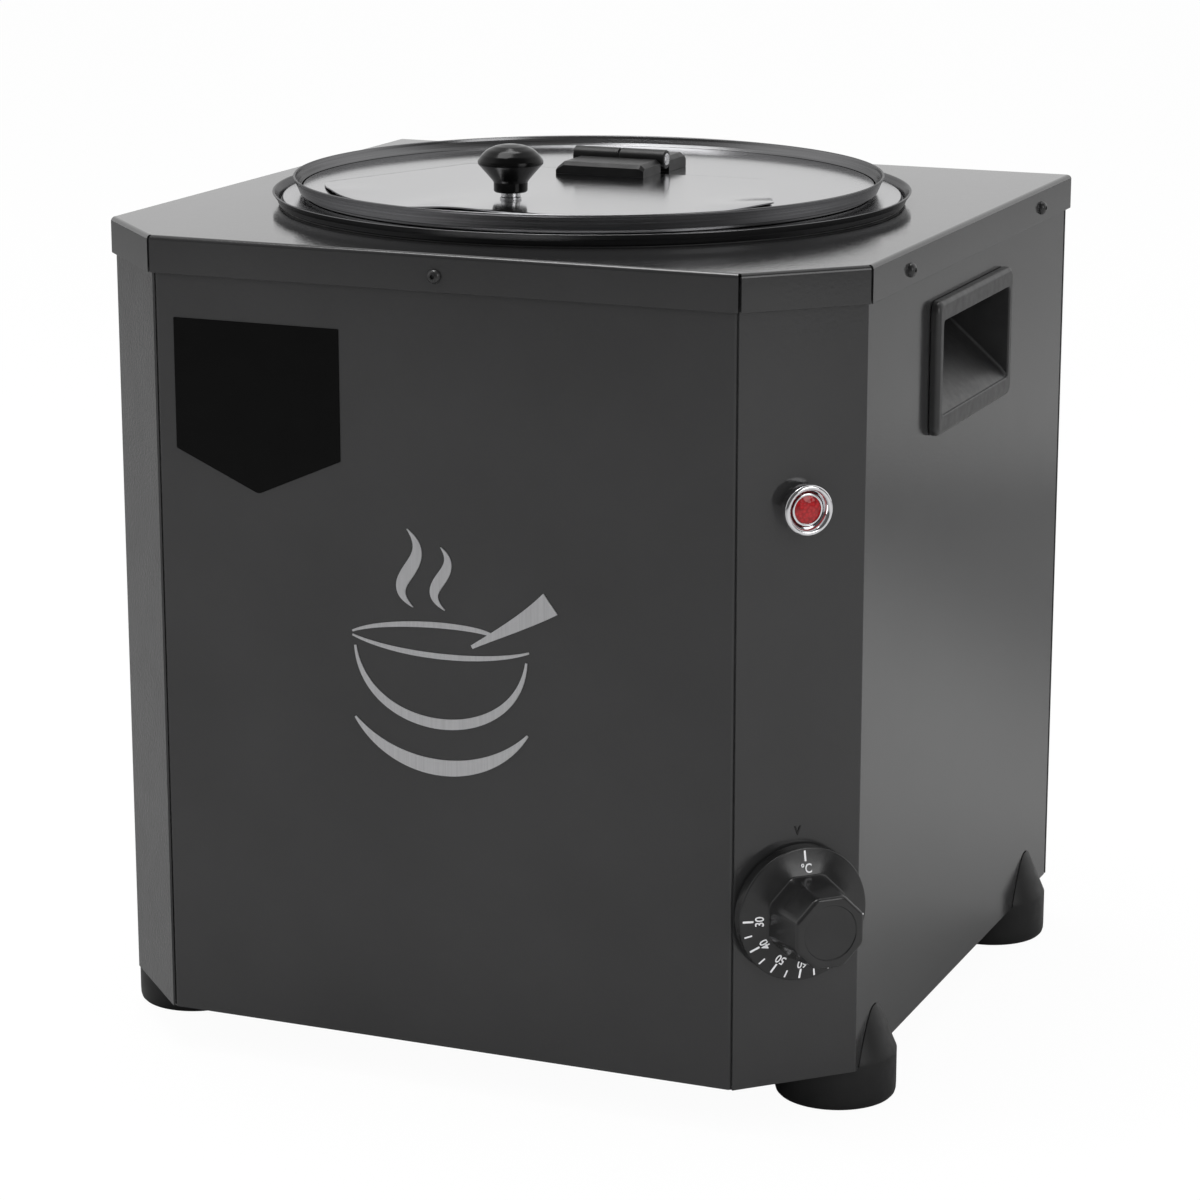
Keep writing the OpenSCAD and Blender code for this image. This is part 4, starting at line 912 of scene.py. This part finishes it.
def bulge(u, v, middle_u, middle_v, width):
    """1 at a spot on the flap, fading to 0 around it."""
    return math.exp(-((u - middle_u) ** 2 + (v - middle_v) ** 2) / width ** 2)


def warp(u, v):
    """How far the sprung flap stands off the lid's floor."""
    # it rises towards the front, less so at the left, with a crest and two raised spots
    front = min(1.0, max(0.0, (10 - v) / (FLAP_R + 10)))
    left = max(0.0, -u / 117.0)
    lift = 1.9 * front ** 1.3 * max(0.05, 1 - 2.2 * left)
    crest = 1.7 * math.exp(-((u + 16) / 21) ** 2) * front ** 2
    return lift + crest + 2.0 * bulge(u, v, 109.6, -52, 20) + 0.6 * bulge(u, v, -95, -76, 13)


def lid_flap():
    """The flap as rings around a middle point, on its top and on its underside."""
    outer = flap_line(0, 2.5, 4)
    dense = []
    for a, b in sides(outer):
        k = max(1, int((Vector(b) - Vector(a)).length / 4))
        dense += [tuple(Vector(a).lerp(Vector(b), i / k)) for i in range(k)]
    middle, edge = Vector((0, -40)), 0.12
    top, low = [], []
    for f in (1.0, 0.985, 0.955, 0.91, 0.85, 0.78, 0.7, 0.6, 0.49, 0.37, 0.24, 0.11):
        points = [middle + (Vector(p) - middle) * f for p in dense]
        e = edge if f == 1.0 else 0.0
        top.append([(q.x, q.y, FLAP_TOP - e + warp(*q)) for q in points])
        low.append([(q.x, q.y, FLAP_Z + e + warp(*q)) for q in points])
    h = warp(*middle)
    return loft([[(*middle, FLAP_Z + h)]] + low[::-1] + top + [[(*middle, FLAP_TOP + h)]], False, False)


piece("flap_sheet", lid_flap(), STEEL_LID, "flap", ["lid_flap"], matrix=LID, smooth=50,
      weighted=False)

# the stud and the knob, about their own axis, with heights above the flap
KNOB = Matrix.Translation((KNOB_SHIFT, KNOB_V, FLAP_TOP + warp(0, KNOB_V)))
stud = [(0, -2.6), (3.6, -2.6), (4.0, -2.2), (4.0, -0.8), (2, -0.8), (2, 0), (4.6, 0), (4.8, 0.3), (4.8, 1.0),
        (4.3, 1.3), (4.3, 3.0), (2, 3.2), (2, 9), (0, 9)]
piece("knob_collar", lathe(stud, 48, closed=False), ZINC, "flap", ["knob_stud"], matrix=KNOB,
      smooth=40)
knob = fillet([(0, 3.3), (7.0, 3.3), (7.5, 3.9), (7.55, 7.6), (8.3, 8.7), (10.6, 11.4), (13.1, 14.2),
               (14.35, 15.6), (14.55, 16.5), (14.3, 17.4), (12.9, 19.6), (10.4, 21.9), (6.9, 23.5),
               (3.2, 24.2), (0, 24.4)],
              [0, 0.3, 0.3, 0.5, 1, 4, 4, 0.6, 0.3, 0.5, 5, 6, 6, 6, 0], 4, closed=False)
piece("knob_body", lathe(knob, 96, closed=False), KNOB_MAT, "flap", ["lid_knob"],
      matrix=KNOB, smooth=40)


# ---------------------------------------------------------------- hinge
def hinge_leaf(side, z_low):
    """A leaf in the lid's frame, about the pin: side 1 is the rear leaf."""
    half, block, gap = 23.0, 22.0, 0.25     # outer ends of knuckle and block, inner end of knuckle
    near, far = 5.4, 27.0                   # from the pin's axis to the block's two sides
    knuckle, bore = 4.4, 3.05               # outer radius and bore of the knuckle
    top = FLAP_TOP + 6
    # block: cross-section in (v, z) swept along u, with bevelled ends
    section = fillet([(side * near, z_low), (side * far, z_low), (side * far, top - 1.9),
                      (side * (far - 1.7), top - 0.1), (side * near, top)], [0, 0.3, 0.25, 0.4, 0.4], 3)
    rings = []
    for u, drop in ((-block, 3.4), (-block + 0.3, 2.9), (-block + 3.6, 0.15), (-block + 4.0, 0.0),
                    (block - 2.4, 0.0), (block - 2.0, 0.15), (block - 0.3, 1.6), (block, 2.0)):
        k = (top - z_low - drop) / (top - z_low)
        rings.append([(u, v, z_low + (z - z_low) * k) for v, z in section])
    s = loft(rings)
    u0, u1 = (gap, half) if side > 0 else (-half, -gap)
    length = u1 - u0
    sleeve = fillet([(bore, 0), (knuckle, 0), (knuckle, length), (bore, length)], [0, 0.5, 0.5, 0], 4)
    s.join(lathe(sleeve, 48).move(along_pin(u0)))
    # web between the block and the knuckle
    web = [(side * (near + 0.4), top - 5), (side * (near + 0.4), top - 0.9), (side * 3.6, top - 0.9),
           (side * 3.3, PIN_Z - 1), (side * 3.3, top - 4.2)]
    return s.join(loft([[(u, v, z) for v, z in web] for u in (u0 + 1.0, u1 - 5.2)]))


HINGE = Matrix.Translation((HINGE_SHIFT, PIN_V, 0))
piece("rear_leaf", hinge_leaf(1, LID_FLOOR + 0.95), HINGE_MAT, "lid",
      ["hinge_rear_leaf"], matrix=HINGE, smooth=38)
piece("front_leaf", hinge_leaf(-1, FLAP_TOP), HINGE_MAT, "flap",
      ["hinge_front_leaf"], matrix=HINGE, smooth=38)
pin = fillet([(0, -22), (2.4, -22), (3.0, -21.4), (3.0, 22.8), (2.6, 23.3), (0, 23.3)],
             [0, 0.2, 0, 0, 0.2, 0], 3, closed=False)
piece("pin_rod", lathe(pin, 36, closed=False), ZINC, "lid", ["hinge_pin"],
      matrix=HINGE @ along_pin(0), smooth=40)

# the hinge's screws, which end inside the leaves
SCREW_U, SCREW_V, SUNK = 16, 19, 1.2
for node, body, v in (("rear_hinge_screws", "lid", SCREW_V), ("front_hinge_screws", "flap", -SCREW_V)):
    low, high = (corner[2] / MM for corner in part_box(node))
    shank = [(0, low), (1.6, low), (1.9, low + 0.4), (1.9, high - SUNK), (0, high - SUNK)]
    ends = Shape()
    for u in (-SCREW_U, SCREW_U):
        place = Matrix.Translation((HINGE_SHIFT + u, PIN_V + v, 0))
        ends.join(lathe(shank, 32, closed=False).move(place))
    piece(node + "_shanks", ends, ZINC, body, [node], smooth=40)


# ---------------------------------------------------------------- floor, light, camera; metres
FLOOR_TONE = 0.9
# painted shade: the floor's tones as reflections see them, darker than its white to the camera
FLOOR_FRONT, FLOOR_RIGHT, FLOOR_BACK, FLOOR_FAR = 0.35, 0.52, 0.28, (0.34, 0.52)  # in gloss
FLOOR_SHOWN = 0.96                          # share of plain white in what the camera sees of it
WHITE = (1, 1, 1, 1)


def seen_straight(nt, path):
    """1 for what the camera sees directly or through glass."""
    return make(nt, "Math", {0: path.outputs["Is Camera Ray"], 1: path.outputs["Is Transmission Ray"]},
                operation="MAXIMUM").outputs[0]


def blend(nt, share, first, second):
    """A mix of two shaders."""
    return make(nt, "MixShader", {0: share, 1: first.outputs[0], 2: second.outputs[0]})


def floor_material():
    """Near white to the camera. In gloss its tone is painted shade: it falls off towards the back and the
    left, as the light in a studio does, and rises again far away."""
    mat = bpy.data.materials.new("floor_white")
    mat.use_nodes = True
    nt = mat.node_tree
    nt.nodes.clear()
    path, spot = make(nt, "LightPath"), make(nt, "TexCoord").outputs["Object"]
    x = make(nt, "SeparateXYZ", {0: spot}).outputs["X"]
    along = make(nt, "VectorMath", {0: spot, 1: (-1.3, 1.0, 0.0)}, operation="DOT_PRODUCT")
    reach = make(nt, "VectorMath", {0: spot}, operation="LENGTH")
    right = spread(nt, x, FLOOR_FRONT, FLOOR_RIGHT, 0.05, 0.35)
    near = spread(nt, along.outputs["Value"], right, FLOOR_BACK, 0.0, 0.35, "SMOOTHSTEP")
    far = spread(nt, reach.outputs["Value"], 0.0, spread(nt, x, *FLOOR_FAR, -0.2, 0.5), 0.7, 1.6,
                 "SMOOTHSTEP")
    gloss = make(nt, "Math", {0: near, 1: far}, operation="MAXIMUM")
    tone = make(nt, "Mix", {"Factor": path.outputs["Is Glossy Ray"], "A": (*[FLOOR_TONE] * 3, 1),
                            "B": gloss.outputs[0]}, data_type="RGBA")
    diffuse = make(nt, "BsdfDiffuse", {"Color": tone.outputs["Result"]})
    glow = make(nt, "Emission", {"Color": WHITE, "Strength": 1.0})
    share = make(nt, "Math", {0: seen_straight(nt, path), 1: FLOOR_SHOWN}, operation="MULTIPLY")
    mix = blend(nt, share.outputs[0], diffuse, glow)
    make(nt, "OutputMaterial", {"Surface": mix.outputs[0]})
    return mat


def studio_world():
    """Even white light. In gloss it is white behind and above, and dim on the camera's side."""
    world = bpy.data.worlds.new("studio")
    world.use_nodes = True
    nt = world.node_tree
    nt.nodes.clear()
    path, around = make(nt, "LightPath"), make(nt, "TexCoord").outputs["Generated"]
    toward = make(nt, "VectorMath", {0: around, 1: (0.5, -0.87, 0.0)}, operation="DOT_PRODUCT")
    dim = spread(nt, toward.outputs["Value"], 0.90, 0.10, -0.15, 0.45, "SMOOTHSTEP")
    bright, soft, room = [make(nt, "Background", {"Color": WHITE, "Strength": strength})
                          for strength in (1.0, 0.72, dim)]
    light = blend(nt, path.outputs["Is Glossy Ray"], soft, room)
    mix = blend(nt, seen_straight(nt, path), light, bright)
    make(nt, "OutputWorld", {"Surface": mix.outputs[0]})
    return world


def lamp(name, at, target, size, watts, in_gloss=True):
    """A soft box that faces its target."""
    data = bpy.data.lights.new(name, "AREA")
    data.shape = "RECTANGLE"
    data.size, data.size_y = size
    data.energy = watts
    ob = bpy.data.objects.new(name, data)
    ob.location = at
    ob.rotation_euler = (Vector(target) - Vector(at)).to_track_quat("-Z", "Y").to_euler()
    ob.visible_glossy = in_gloss
    bpy.context.scene.collection.objects.link(ob)


scene = bpy.context.scene
floor_half = 9.0
floor_mesh = bpy.data.meshes.new("floor")
corners = [(x * floor_half, y * floor_half, 0) for x, y in ((-1, -1), (1, -1), (1, 1), (-1, 1))]
floor_mesh.from_pydata(corners, [], [(0, 1, 2, 3)])
floor_mesh.materials.append(floor_material())
floor = bpy.data.objects.new("floor", floor_mesh)
scene.collection.objects.link(floor)
floor.location.z = -0.0004
scene.world = studio_world()
lamp("overhead_box", (-0.3, 0.1, 2.2), (0, 0, 0.2), (1.6, 1.0), 34)
lamp("left_box", (-1.9, -1.3, 1.3), (0, 0, 0.25), (1.2, 1.4), 18, in_gloss=False)
lamp("right_box", (2.1, -0.9, 1.1), (0, 0, 0.25), (1.0, 1.4), 12)

CAMERA_AT = (0.66549, -1.58802, 0.62044)
CAMERA_DOWN, CAMERA_TURN = 14.196, 22.615   # degrees below level, and round from the front
cam_data = bpy.data.cameras.new("camera")
cam_data.lens = 112.467
cam_data.sensor_width = 36
cam_data.clip_end = 50
camera = bpy.data.objects.new("camera", cam_data)
camera.location = CAMERA_AT
camera.rotation_euler = (math.radians(90 - CAMERA_DOWN), 0, math.radians(CAMERA_TURN))
scene.collection.objects.link(camera)
scene.camera = camera
bpy.context.scene.view_settings.view_transform = "Standard"
